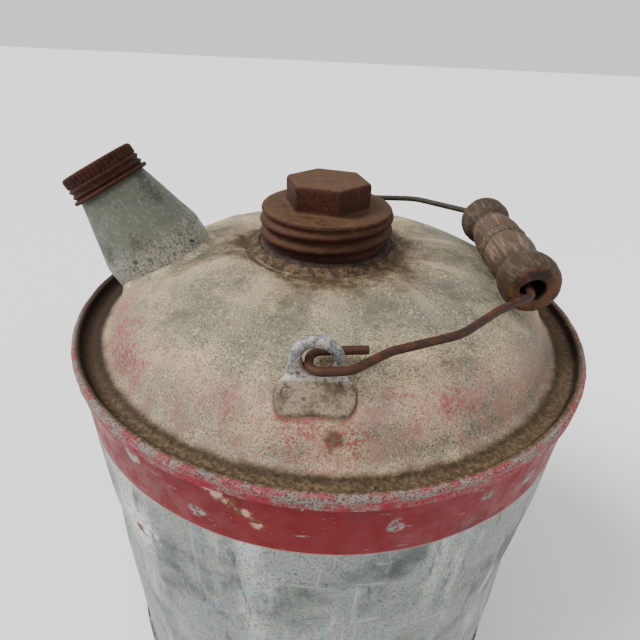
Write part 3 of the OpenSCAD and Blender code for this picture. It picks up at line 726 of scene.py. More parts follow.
def rust_finish(name, dusty=1.0, redder=0.0, seed=0.0):
    """Dark pitted rust with tan dust on what faces up."""
    c = colours()
    f = Finish(name)
    grain = f.noise(1100, 3, 0.7, seed=seed)
    scale = f.noise(240, 5, 0.7, seed=seed + 5)
    cloud = f.noise(70, 5, 0.65, seed=seed + 9)
    tone = f.mix(c.rust, c.rust_red, f.step(cloud, 0.42 - redder, 0.66 - redder))
    tone = f.coats(
        tone,
        ((0.085, 0.05, 0.033), f.step(scale, 0.5, 0.68), 0.7),
        (c.soot_and_shade, f.step(f.noise(330, 4, 0.7, seed=seed + 13), 0.55, 0.66), 0.65),
        (c.rust_orange, f.step(grain, 0.64, 0.74), 0.5),
        ((0.17, 0.13, 0.1), f.step(f.noise(1600, 2, 0.7, seed=seed + 17), 0.6, 0.7), 0.6),
    )
    up = f.add("ShaderNodeSeparateXYZ", f.add("ShaderNodeNewGeometry").outputs["Normal"]).outputs[2]
    lying = f.both(f.step(up, 0.45, 0.95), f.step(scale, 0.3, 0.62, 0.35, 1.0))
    tone = f.mix(tone, (0.135, 0.082, 0.044), f.both(lying, 0.8 * dusty))
    f.relief((cloud, 0.5 * MM), (scale, 0.45 * MM), (grain, 0.2 * MM))
    return f.done(tone, f.step(scale, 0.3, 0.7, 0.6, 0.9), 0.0, 0.15)


def flange_finish():
    """Solder and rust round the neck, caked with tan dirt."""
    c = colours()
    f = Finish("rusted_flange")
    grain = f.noise(1200, 3, 0.75)
    scale = f.noise(300, 5, 0.7, seed=3)
    tone = f.mix((0.06, 0.038, 0.023), (0.17, 0.115, 0.066), f.step(scale, 0.42, 0.6))
    tone = f.coats(
        tone,
        (c.rust_orange, f.step(f.noise(90, 5, seed=8), 0.5, 0.68), 0.2),
        (c.soot_and_shade, f.step(grain, 0.52, 0.62), 0.75),
    )
    # painted shade on the flange round the neck, at the foot of the filler cap
    inner = f.step(f.away((FILLER.x, 0, LAND_Z)), 31.5 * MM, 29.5 * MM)
    tone = f.mix(tone, c.soot_and_shade, f.both(inner, 0.7))
    f.relief((scale, 0.3 * MM), (grain, 0.2 * MM))
    return f.done(tone, 0.85, 0.0, 0.3)


def spout_finish():
    """Dull grey-green zinc, whitened and spotted at the spout's foot."""
    c = colours()
    f = Finish("spout_sheet")
    axis = tuple(SPOUT_AXIS)
    mouth = f.add("ShaderNodeVectorMath", f.place, tuple(SPOUT_MOUTH), operation="SUBTRACT").outputs[0]
    along = f.add("ShaderNodeVectorMath", mouth, axis, operation="DOT_PRODUCT").outputs["Value"]
    grain = f.noise(1000, 3, 0.7)
    scale = f.noise(210, 5, 0.7, seed=2)
    cloud = f.noise(48, 5, 0.6, seed=4)
    tone = f.mix((0.065, 0.075, 0.055), (0.15, 0.155, 0.12), f.step(cloud, 0.42, 0.58))
    tone = f.coats(
        tone,
        ((0.085, 0.06, 0.042), f.step(f.noise(50, 5, seed=7), 0.55, 0.64), 0.75),
        ((0.28, 0.28, 0.25), f.step(f.noise(700, 4, 0.7, seed=31), 0.52, 0.64), 0.5),
    )
    low = f.step(f.frayed(along, scale, 14 * MM), -32 * MM, -44 * MM)
    white = f.mix((0.4, 0.375, 0.31), (0.15, 0.15, 0.12), f.step(grain, 0.45, 0.6))
    tone = f.mix(tone, white, f.both(low, 0.85))
    patchy = f.both(low, f.step(f.noise(60, seed=3), 0.54, 0.62))
    spots = f.both(f.step(f.cells(115, seed=9), 0.24, 0.16), patchy)
    tone = f.coats(
        tone,
        ((0.035, 0.04, 0.045), spots, 0.85),
        (c.soot_and_shade, f.step(grain, 0.6, 0.72), 0.45),
        # painted shade on the cone's top and the threaded ring, under the spout cap
        (c.soot_and_shade, f.step(along, -13 * MM, -9 * MM), 0.6),
    )
    f.relief((cloud, 0.4 * MM), (scale, 0.12 * MM), (grain, 0.07 * MM))
    return f.done(tone, f.step(scale, 0.3, 0.7, 0.45, 0.68), 0.25, 0.45)


def solder_finish():
    """Dusty solder round the spout's foot."""
    f = Finish("solder")
    grain = f.noise(1100, 3, 0.7)
    scale = f.noise(180, 5, 0.7, seed=2)
    tone = f.mix((0.26, 0.22, 0.15), (0.45, 0.4, 0.3), f.step(scale, 0.4, 0.62))
    tone = f.mix(tone, (0.06, 0.045, 0.03), f.both(f.step(grain, 0.52, 0.68), 0.6))
    f.relief((scale, 0.3 * MM), (grain, 0.12 * MM))
    return f.done(tone, 0.75, 0.0, 0.4)


def ear_finish():
    """Bright zinc ear, white where it bends and dirty on its foot plate."""
    c = colours()
    f = Finish("ear_zinc")
    ear_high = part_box("ear_front")[1]
    eye = f.sum("SUBTRACT", f.z, ear_high.z - EYE_DROP)
    out = f.sum("SUBTRACT", f.sum("ABSOLUTE", f.y), -ear_high.y + EAR_IN)
    grain = f.noise(1100, 3, 0.72)
    scale = f.noise(230, 5, 0.7, seed=2)
    tone = f.mix((0.2, 0.21, 0.215), (0.44, 0.43, 0.41), f.step(scale, 0.4, 0.58))
    white = f.both(f.step(eye, -3 * MM, -9 * MM), f.step(scale, 0.3, 0.55, 0.4, 1.0))
    tone = f.mix(tone, (0.66, 0.62, 0.54), f.both(white, 0.8))
    plate = f.step(f.frayed(out, scale, 3 * MM), 1.4 * MM, 3.2 * MM)
    dirty = f.mix((0.25, 0.19, 0.125), (0.1, 0.068, 0.04), f.step(f.noise(150, 5, 0.7, seed=6), 0.42, 0.6))
    tone = f.coats(
        tone,
        (dirty, plate, 0.92),
        ((0.045, 0.05, 0.05), f.step(f.cells(170, seed=4), 0.2, 0.1), 0.7),
        (c.dirt, f.step(grain, 0.5, 0.62), 0.65),
    )
    for x, strength in ((-12.3 * MM, 0.8), (5.6 * MM, 0.3)):
        for y in (-1, 1):
            weld = (x, y * WELD_Y, float(dome_height(WELD_Y)) + 1.2 * MM)
            ring = f.between(f.away(weld), 1.75 * MM, 2.2 * MM, 0.3 * MM)
            tone = f.mix(tone, (0.06, 0.035, 0.02), f.both(ring, strength))
    f.relief((scale, 0.2 * MM), (grain, 0.1 * MM))
    square = f.sum("ADD", f.sum("POWER", f.sum("SUBTRACT", f.x, EAR_X), 2), f.sum("POWER", eye, 2))
    bore = f.step(square, 36 * MM * MM, 27 * MM * MM)
    tone = f.mix(tone, (0.15, 0.09, 0.035), f.both(bore, 0.85))
    return f.done(tone, f.step(scale, 0.3, 0.7, 0.4, 0.7), f.blend(0.3, 0.0, plate), 0.3)


def wire_finish():
    """Rusted wire, redder toward the front."""
    c = colours()
    f = Finish("bail_steel")
    grain = f.noise(1300, 3, 0.7)
    scale = f.noise(260, 5, 0.7, seed=2)
    far = f.mix((0.045, 0.04, 0.03), (0.1, 0.085, 0.062), f.step(scale, 0.45, 0.65))
    near = f.mix((0.055, 0.024, 0.014), (0.12, 0.055, 0.028), f.step(scale, 0.42, 0.62))
    tone = f.mix(near, far, f.step(f.y, 0.0, 60 * MM))
    hook = f.step(f.x, 18 * MM, 4 * MM)
    tone = f.coats(
        tone,
        (f.mix((0.1, 0.04, 0.02), c.rust_orange, f.step(grain, 0.5, 0.7)), hook, 0.5),
        (c.soot_and_shade, f.step(grain, 0.56, 0.7), 0.6),
    )
    f.relief((scale, 0.2 * MM), (grain, 0.12 * MM))
    return f.done(tone, f.step(scale, 0.3, 0.7, 0.5, 0.8), 0.1, 0.3, 1.35)


def wood_finish():
    """Weathered turned wood: grain along the grip, dark handled knobs and bare end grain."""
    s, c = sizes(), colours()
    f = Finish("grip_wood")
    grain = f.noise(520, 5, 0.65, (1, 0.05, 1), 1)
    pores = f.noise(1500, 3, 0.7, (1, 0.14, 1), 5)
    cloud = f.noise(60, 5, 0.65, (1, 0.6, 1), 9)
    half = GRIP_HIGH.y
    away = f.sum("ABSOLUTE", f.y)
    tone = f.mix(c.wood, (0.2, 0.15, 0.108), f.step(grain, 0.46, 0.62))
    tone = f.coats(
        tone,
        (c.wood_dark, f.step(cloud, 0.5, 0.68), 0.55),
        (c.wood_dark, f.step(away, half - 30 * MM, half - 8 * MM), f.step(cloud, 0.3, 0.7, 0.75, 0.4)),
        ((0.15, 0.085, 0.055), f.step(f.noise(38, 4, seed=12), 0.56, 0.68), 0.35),
    )
    # painted shade in the turned groove by the middle bead and in the coves beside the knobs
    for groove, wide, strength in ((3.2 * MM, 0.5 * MM, 0.8), (half - COVE_IN, 2 * MM, 0.35)):
        hollow = f.between(away, groove - wide, groove + wide, wide)
        tone = f.mix(tone, c.soot_and_shade, f.both(hollow, strength))
    tone = f.mix(tone, c.soot_and_shade, f.both(f.step(pores, 0.6, 0.72), 0.6))
    end = f.step(away, half - 1.6 * MM, half - 0.5 * MM)
    raw = f.mix(c.wood_dark, c.wood_bare, f.step(f.noise(170, 5, 0.7, seed=14), 0.36, 0.6))
    raw = f.mix(raw, c.soot_and_shade, f.both(f.step(pores, 0.55, 0.68), 0.6))
    tone = f.mix(tone, raw, f.both(end, 0.9))
    # painted shade inside the bore
    off = f.hypot(f.sum("SUBTRACT", f.x, GRIP_CENTRE.x), f.sum("SUBTRACT", f.z, GRIP_CENTRE.z))
    tone = f.mix(tone, c.soot_and_shade, f.step(off, s.grip_bore_r + 0.6 * MM, s.grip_bore_r - 0.2 * MM))
    f.relief((grain, 0.22 * MM), (pores, 0.1 * MM), (cloud, 0.3 * MM))
    return f.done(tone, f.step(cloud, 0.3, 0.7, 0.55, 0.8), 0.0, 0.2)


def cork_finish():
    """Pressed cork of the sealing rings."""
    c = colours()
    f = Finish("seal_cork")
    crumbs = f.cells(700, out="Color")
    tone = f.mix(c.cork, crumbs, 0.25, "OVERLAY")
    tone = f.mix(tone, c.dirt, f.both(f.step(f.noise(300, 4), 0.5, 0.7), 0.7))
    f.relief((f.cells(700), 0.2 * MM))
    return f.done(tone, 0.85, 0.0, 0.3)


# ---- operators: one for each piece or group of like pieces ----


class GASCAN_OT_wall(bpy.types.Operator):
    """Body wall with its dents and its lock seam, and the recessed bottom"""

    bl_idname = "gascan.wall"
    bl_label = "Wall and Bottom"

    def execute(self, context):
        s = sizes()
        material = wall_finish()
        low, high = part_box("body_shell")
        hem = RIM_R - s.sheet_t
        rows = [(hem, low.z, 0), (hem, s.rim_h, 0), (WALL_R, s.rim_h + 0.6 * MM, 0)]
        rows += straight(rows[-1], (WALL_R, TOP_LOW.z - 0.6 * MM), 56)
        rows += [(hem, TOP_LOW.z, 0), (hem, high.z, 0), (WALL_R - SHEET, high.z, 0)]
        rows += straight(rows[-1], (WALL_R - SHEET, low.z), 28)
        loop = [(r, z, math.pi / 2) for r, z, *_ in rows]

        def shift(r, z, angle):
            free = smooth(z, s.rim_h, 24 * MM) * smooth(z, TOP_LOW.z - 1 * MM, TOP_LOW.z - 26 * MM)
            x, y = np.cos(angle), np.sin(angle)
            slow = 0.5 * field(x, y, z * 9, 1.6, 3.0) + 0.35 * field(x, y, z * 14, 3.4, 8.0)
            lift = -0.9 * MM * np.abs(slow)
            for where, height, wide, tall, depth in DENTS:
                lift = lift - s.dent * depth * bump_at(angle, z, math.radians(where), height, wide, tall)
            around = np.abs((angle - math.pi / 2 + math.pi) % math.tau - math.pi) * WALL_R
            seam = smooth(around, 4.6 * MM, 3.6 * MM) * smooth(z, 7 * MM, 9 * MM)
            seam = seam * smooth(z, TOP_LOW.z - 1 * MM, TOP_LOW.z - 3 * MM) * (r > WALL_R - 0.1 * MM)
            return lift * free + 0.85 * MM * seam, 0, 0

        wall = revolved("can_wall", loop, 480, shift)
        finish_piece(wall, "can", "galvanised_wall", material, "body_shell")

        floor_path = [(0.0, s.recess, 0.0)] + straight((0, s.recess), (60 * MM, s.recess), 6)
        floor_path += straight(floor_path[-1], (RIM_R - s.rim_w - s.gutter_round - s.gutter_w, s.recess), 5)
        mirrored = [(r, -z, a) for r, z, a in floor_path]
        path = mirrored + rim_path(mirrored[-1])
        loop = [(r, -z, math.pi - a) for r, z, a in sheet_loop(path, s.sheet_t)]

        def ripple(r, z, angle):
            inside = smooth(r, 100 * MM, 60 * MM)
            return 0.5 * MM * inside * field(r * np.cos(angle), r * np.sin(angle), z, 28.0, 5.0), 0, 0

        bottom = revolved("bottom_pan_sheet", loop, 240, ripple)
        finish_piece(bottom, "can", "galvanised_wall", material, "bottom_pan")
        return {"FINISHED"}


class GASCAN_OT_dome(bpy.types.Operator):
    """Stamped top: rolled rim, gutter and fluted dome, with its two holes"""

    bl_idname = "gascan.dome"
    bl_label = "Dome"

    def execute(self, context):
        s = sizes()
        hole_r = NECK_BORE_R + 1 * MM
        path = dome_path(hole_r)
        path += rim_path(path[-1])
        loop = sheet_loop(path, s.sheet_t)

        def shift(r, z, angle):
            centred = smooth(r, s.land_r, hole_r)
            x, y = r * np.cos(angle), r * np.sin(angle)
            round_filler = np.arctan2(y, x - FILLER.x)
            reach = np.hypot(x - FILLER.x, y)
            phase = (round_filler + math.radians(87)) * s.flute_count / math.tau
            saw = phase - np.floor(phase)
            ridge = np.exp(-((np.minimum(saw, 1 - saw) / 0.13) ** 2)) + 0.55 * (1 - np.sin(math.pi * saw))
            wander = 0.8 + 0.5 * field(np.cos(round_filler), np.sin(round_filler), reach * 0, 3.0, 4.0)
            flutes = smooth(reach, 39 * MM, 46 * MM) * smooth(reach, 82 * MM, 60 * MM) * ridge * wander
            near_ear = smooth(np.hypot(x - FILLER.x, np.abs(y) - EAR_Y), 26 * MM, 12 * MM)
            near_spout = smooth(np.hypot(x - SPOUT_FOOT.x, y), 44 * MM, 30 * MM)
            groove = np.exp(-(((reach - 37.4 * MM) / (1.5 * MM)) ** 2))
            lift = s.flute_h * flutes - 0.7 * MM * groove * (z > LAND_Z - 4 * MM)
            lift = lift + 0.55 * MM * field(x, y, z, 30.0, 2.0) * smooth(r, 45 * MM, 60 * MM)
            lift = lift + 0.18 * MM * field(x, y, z, 85.0, 6.0)
            calm = (1 - near_ear) * (1 - near_spout)
            calm = calm * smooth(r, 36 * MM, 40 * MM) * smooth(r, 114 * MM, 110 * MM)
            edge = smooth(r, RIM_R - s.rim_w - 1 * MM, RIM_R - s.rim_w + 0.5 * MM)
            beaten = np.abs(field(np.cos(angle), np.sin(angle), 0 * r, 7.0, 9.0))
            beaten = beaten + 0.6 * np.abs(field(np.cos(angle), np.sin(angle), 0 * r, 19.0, 1.0))
            return lift * calm, -0.55 * MM * edge * beaten, FILLER.x * centred

        dome = revolved("can_top", loop, 384, shift)
        cut(dome, rod("spout_hole", s.spout_r - SHEET, 30 * MM, 96, spout_place()))
        finish_piece(dome, "can", "galvanised_dome", dome_finish(), "top_dome")
        return {"FINISHED"}


def rod(name, radius, half, count, place):
    """A plain round rod about a frame's Z, to cut a hole with."""
    loop = [(0, -half, 0), (radius, -half, 0), (radius, half, 0), (0, half, 0)]
    return revolved(name, loop, count, place=place)


def cut(piece, cutter):
    """Takes the cutter's shape out of the piece, and removes the cutter."""
    modifier = piece.modifiers.new("cut", "BOOLEAN")
    modifier.operation = "DIFFERENCE"
    modifier.solver = "EXACT"
    modifier.object = cutter
    apply_modifiers(piece)
    bpy.data.objects.remove(cutter)


def apply_modifiers(piece):
    """Replaces the piece's mesh with its evaluated one."""
    bpy.context.view_layer.update()
    shown = piece.evaluated_get(bpy.context.evaluated_depsgraph_get())
    mesh = bpy.data.meshes.new_from_object(shown)
    piece.modifiers.clear()
    piece.data = mesh
    mesh.shade_smooth()
    mesh.set_sharp_from_angle(angle=math.radians(40))


def spout_place():
    """The spout's own frame: +Z along its axis, from its cone's wide end."""
    return Matrix.Translation(SPOUT_FOOT) @ SPOUT_AXIS.to_track_quat("Z", "Y").to_matrix().to_4x4()


def threaded(radius, rise, pitch, low, high):
    """A push outward that makes a right-hand rolled thread between two heights."""

    def shift(r, z, angle):
        wave = np.cos(math.tau * (z - low) / pitch - angle)
        ends = smooth(z, low - 0.5 * pitch, low) * smooth(z, high + 0.5 * pitch, high)
        return 0, rise * (0.5 + 0.5 * wave) * ends * (r > radius - 0.2 * MM), 0

    return shift


class GASCAN_OT_filler(bpy.types.Operator):
    """Threaded neck, the ring round it and the seal under the cap"""

    bl_idname = "gascan.filler"
    bl_label = "Filler Neck"

    def execute(self, context):
        s = sizes()
        at_filler = Matrix.Translation((FILLER.x, FILLER.y, 0))
        outer = NECK_BORE_R + 1 * MM
        mouth = FILLER.z
        low = LAND_Z - 2.5 * MM
        rows = [(outer, low, 0)] + straight((outer, low), (outer, mouth - 0.3 * MM), 60)
        rows += [(outer - 0.3 * MM, mouth, 0), (NECK_BORE_R + 0.2 * MM, mouth, 0)]
        rows += [(NECK_BORE_R, mouth - 0.2 * MM, 0)]
        rows += straight(rows[-1], (NECK_BORE_R, low), 3)
        thread = threaded(outer, 1 * MM, s.cap_pitch, mouth - 1.5 * MM - 2 * s.cap_pitch, mouth - 3 * MM)
        neck = revolved("neck_tube", rows, 144, thread, place=at_filler)
        finish_piece(neck, "can", "rusted_steel", rust_finish("rusted_neck", 0.4, seed=40.0), "filler_neck")

        top = LAND_Z
        steps = [(26.45, 0), (26.45, 3.3), (29.3, 3.4), (29.9, 3.1), (30.2, 2.5), (30.7, 2.1), (31.3, 2.4),
                 (32.0, 2.5), (32.7, 2.2), (33.4, 1.6), (34.2, 0.9), (34.9, 0.35), (35.2, 0.05), (35.2, 0)]
        rows = []
        for start, end in zip(steps, steps[1:]):
            (r0, z0), (r1, z1) = ((r * MM, top + z * MM) for r, z in (start, end))
            rows += [(r0, z0, 0)] + straight((r0, z0), (r1, z1), 2)[:1]
        rows += [(35.2 * MM, top - 0.1 * MM, 0), (26.45 * MM, top - 0.1 * MM, 0)]

        def crusty(r, z, angle):
            x, y = np.cos(angle), np.sin(angle)
            rough = field(x, y, r * 40, 9.0, 2.0) + 0.6 * field(x, y, r * 90, 26.0, 5.0)
            wander = 0.1 * MM * field(x, y, 0 * r, 8.0, 7.0) * (r > 34 * MM)
            return 0.16 * MM * rough * (z > top + 0.6 * MM), wander, 0

        flange = revolved("neck_flange", rows, 240, crusty, place=at_filler)
        finish_piece(flange, "can", "rusted_steel", flange_finish(), "filler_flange")
        seal = cork_finish()
        dress_node("filler_gasket", seal)
        dress_node("spout_gasket", seal)
        return {"FINISHED"}


class GASCAN_OT_filler_cap(bpy.types.Operator):
    """Pressed screw cap with rolled ribs and a hexagonal boss"""

    bl_idname = "gascan.filler_cap"
    bl_label = "Filler Cap"

    def execute(self, context):
        s = sizes()
        mean = (CAP_HIGH.y - CAP_LOW.y) / 2 - s.rib_rise
        sheet = 1 * MM
        low, top = CAP_LOW.z, CAP_UNDER_Z + sheet
        hex_top = CAP_HIGH.z
        crest = top - 0.9 * s.cap_pitch
        base_r = s.hex_r * math.cos(math.pi / 6)

        # rows of (mean radius, height, share of the hexagon, share of the ribs)
        rows = [(mean, low + 0.3 * MM + i * (top - 2.4 * MM - low) / 40, 0, 1) for i in range(41)]
        shoulder = [(mean + 0.4 * MM, top - 1.6 * MM), (mean + 0.15 * MM, top - 0.9 * MM),
                    (mean - 0.4 * MM, top - 0.35 * MM), (mean - 1.2 * MM, top)]
        rows += [(r, z, 0, 0) for r, z in shoulder]
        span = s.hex_r + 1.4 * MM - mean + 1.2 * MM
        rows += [(mean - 1.2 * MM + span * i / 6, top, min(1, i / 3), 0) for i in range(1, 7)]
        rows += [(s.hex_r + 0.7 * MM, top + 0.15 * MM, 1, 0), (s.hex_r + 0.2 * MM, top + 0.7 * MM, 1, 0)]
        side = 9
        for i in range(side + 1):
            t = i / side
            rows.append((s.hex_r, top + 1.4 * MM + (hex_top - 2.2 * MM - top - 1.4 * MM) * t, 1, 0))
        for i in range(1, 8):
            a = math.pi / 2 * i / 7
            edge_z = hex_top - 2.2 * MM + 2.18 * MM * math.sin(a)
            rows.append((s.hex_r - 1.5 * MM * (1 - math.cos(a)), edge_z, 1, 0))
        for i in range(1, 7):
            sunk = 0.3 * MM * smooth(i / 6, 0, 0.5)
            rows.append(((s.hex_r - 1.5 * MM) * (1 - i / 6), hex_top - 0.05 * MM - sunk, 1 - i / 6, 0))
        inside_top = hex_top - sheet - 0.4 * MM
        well = base_r - 2 * MM
        rows += [(0, inside_top, 0, 0), (well * 0.5, inside_top, 0.5, 0)]
        rows += [(well, inside_top - 0.6 * MM, 0.9, 0), (well, top + 1 * MM, 0.9, 0)]
        rows += [(well - 0.6 * MM, top, 0, 0), (well - 0.6 * MM, CAP_UNDER_Z, 0, 0)]
        rows += [(mean - 3 * MM, CAP_UNDER_Z, 0, 0), (mean - 1.6 * MM, CAP_UNDER_Z - 0.4 * MM, 0, 0)]
        rows += [(mean - sheet, top - 2.4 * MM - i * (top - 2.7 * MM - low) / 24, 0, 0.6) for i in range(25)]
        shape = np.array(rows)
        loop = [(r, z, math.pi / 2) for r, z, *_ in rows]

        def shift(r, z, angle):
            hexed, ribbed = (shape[:, i][:, None] + 0 * angle for i in (2, 3))
            around = (angle - s.hex_turn) % (math.pi / 3) - math.pi / 6
            flat = math.cos(math.pi / 6) / np.cos(around)
            flat = np.minimum(flat, 0.985)
            wave = np.cos(math.tau * (z - crest) / s.cap_pitch - (angle + math.pi / 2))
            x, y = np.cos(angle), np.sin(angle)
            dents = -0.25 * MM * np.abs(field(x, y, z * 30, 3.0, 4.0))
            dents = dents + 0.08 * MM * field(x, y, z * 60, 14.0, 7.0)
            return r * (flat - 1) * hexed + s.rib_rise * wave * ribbed + dents * (r > 2 * MM), 0, 0

        cap = revolved("filler_cap_shell", loop, 240, shift, 50, Matrix.Translation((FILLER.x, FILLER.y, 0)))
        finish_piece(cap, "filler_cap", "rusted_steel", rust_finish("rusted_cap"), "filler_cap")
        return {"FINISHED"}


class GASCAN_OT_spout(bpy.types.Operator):
    """Leaning cone, the solder round its foot and its threaded ring"""

    bl_idname = "gascan.spout"
    bl_label = "Spout"

    def execute(self, context):
        s = sizes()
        place = spout_place()
        turned = np.array(place.to_3x3())
        origin = np.array(place.translation)
        count = 160
        angle = np.linspace(0, math.tau, count, endpoint=False)

        def at(radius, along):
            """Points on a ring about the spout's axis; radius and along may vary round it."""
            local = np.stack([radius * np.cos(angle), radius * np.sin(angle), along + 0 * angle], -1)
            return local @ turned.T + origin

        def on_dome(radius, lift):
            """How far along the axis a tube of this radius meets the dome, raised by lift."""
            along = -0.01 + 0 * angle
            for _ in range(40):
                p = at(radius, along)
                miss = dome_height(np.hypot(p[:, 0], p[:, 1])) + lift - p[:, 2]
                along = along + 0.7 * miss
            return along

        foot_out = on_dome(s.spout_r, 0.0)
        foot_in = on_dome(s.spout_r - SHEET, 0.0)
        slant = (s.spout_r - s.tip_r) / s.cone_len
        rings = [at(s.spout_r, foot_out * (1 - i / 6) - SHEET * (i / 6)) for i in range(7)]
        rings += [at(s.spout_r - 0.12 * MM, 0.2 * MM)]
        for i in range(1, 21):
            along = s.cone_len * i / 20
            places = [Vector((math.cos(a) * 1.3, math.sin(a) * 1.3, along * 60)) for a in angle]
            worn = 0.25 * MM * np.array([noise.noise(p) for p in places])
            rings.append(at(s.spout_r - slant * along - np.abs(worn), along))
        rings.append(at(s.tip_r - SHEET, s.cone_len + 0 * angle))
        rings.append(at(s.spout_r - SHEET, 0 * angle))
        rings.append(at(s.spout_r - SHEET, foot_in))
        cone = hoops("spout_cone", rings, 30)
        material = spout_finish()
        finish_piece(cone, "can", "spout_sheet", material, "spout_body")

        bead = []
        steps = 7
        ragged = np.array([noise.noise(Vector((math.cos(a) * 4, math.sin(a) * 4, 0.5))) for a in angle])
        for i in range(steps + 1):
            t = i / steps
            radius = s.spout_r + 0.02 * MM + s.solder_w * (1 + 0.25 * ragged) * t
            thick = 1.5 * MM * (1 - t) ** 2 + 0.55 * MM * (1 - t ** 4)
            bead.append(at(radius, on_dome(radius, thick)))
        bead.append(at(radius, on_dome(radius, -0.2 * MM)))
        bead.append(at(s.spout_r + 0.02 * MM, on_dome(s.spout_r, -0.2 * MM)))
        solder = hoops("spout_solder_bead", bead, 60)
        finish_piece(solder, "can", "solder", solder_finish(), "spout_solder")

        outer = SPOUT_BORE_R + SHEET
        ring_top = SPOUT_LEN
        low = s.cone_len
        rows = [(outer, low - 3 * MM, 0), (outer, low, 0), (s.tip_r, low, 0), (s.tip_r, low + SHEET, 0),
                (outer, low + SHEET, 0)]
        rows += straight(rows[-1], (outer, ring_top - 0.2 * MM), 40)
        rows += [(outer - 0.2 * MM, ring_top, 0), (SPOUT_BORE_R, ring_top, 0)]
        rows += [(SPOUT_BORE_R, low - 3 * MM, 0)]
        thread = threaded(outer, 0.6 * MM, s.spout_pitch, low + 2 * MM, ring_top - 1.6 * MM)

        def ring_shift(r, z, turn_angle):
            lift, push, move = thread(r, z, turn_angle)
            return lift, push * (r < outer + 0.1 * MM), move

        ring = revolved("spout_ring", rows, 128, ring_shift, place=place)
        finish_piece(ring, "can", "spout_sheet", material, "spout_thread_ring")
        return {"FINISHED"}


class GASCAN_OT_spout_cap(bpy.types.Operator):
    """Small screw cap with a knurled band, two ribs and a curled lip"""

    bl_idname = "gascan.spout_cap"
    bl_label = "Spout Cap"

    def execute(self, context):
        s = sizes()
        r = s.spout_cap_r
        foot, top = 29.4 * MM, 41.2 * MM
        sheet = 0.7 * MM
        inner = r - sheet
        lip = []
        for i in range(13):
            a = math.radians(-100 + 250 * i / 12)
            lip.append((r + 0.6 * MM + 0.9 * MM * math.cos(a), foot + 0.9 * MM + 0.9 * MM * math.sin(a), 0))
        body = []
        for i in range(1, 23):
            z = foot + 1.9 * MM + (5.2 * MM) * i / 22
            wave = 0.5 - 0.5 * math.cos(math.tau * (z - foot - 1.9 * MM) / (2.6 * MM))
            body.append((r - 0.45 * MM + 0.95 * MM * wave, z, 0))
        band_h = top - 1.3 * MM - foot - 7.35 * MM
        band = [(r + 0.05 * MM, foot + 7.35 * MM + band_h * i / 8, 1) for i in range(9)]
        crown = [(r - 0.1 * MM, top - 0.8 * MM, 0.4), (r - 0.45 * MM, top - 0.3 * MM, 0)]
        crown += [(r - 1.2 * MM, top, 0)]
        for i in range(1, 7):
            sunk = 0.12 * MM * math.sin(math.pi * i / 6)
            crown.append(((r - 1.2 * MM) * (1 - i / 6), top - sunk, 0))
        under = [(0, top - sheet, 0), (inner * 0.6, top - sheet, 0), (inner - 0.3 * MM, top - sheet, 0),
                 (inner, top - sheet - 0.4 * MM, 0), (inner, foot + 0.4 * MM, 0)]
        under += [(r + 0.1 * MM, foot + 0.2 * MM, 0)]
        rows = lip + body + band + crown + under
        shape = np.array(rows)
        loop = [(radius, z, math.pi / 2) for radius, z, _ in rows]

        def shift(radius, z, angle):
            knurled = shape[:, 2][:, None] + 0 * angle
            groove = np.clip(np.cos(angle * s.knurls), -0.2, 1)
            x, y = np.cos(angle), np.sin(angle)
            beaten = -0.22 * MM * np.abs(field(x, y, z * 60, 2.6, 3.0))
            beaten = beaten + 0.05 * MM * field(x, y, z * 90, 15.0, 6.0)
            return -0.5 * MM * groove * knurled + beaten * (radius > 3 * MM), 0, 0

        cap = revolved("spout_cap_shell", loop, s.knurls * 8, shift, 50, spout_place())
        material = rust_finish("rusted_spout_cap", 0.25, 0.05, 70.0)
        finish_piece(cap, "spout_cap", "rusted_steel", material, "spout_cap")
        return {"FINISHED"}


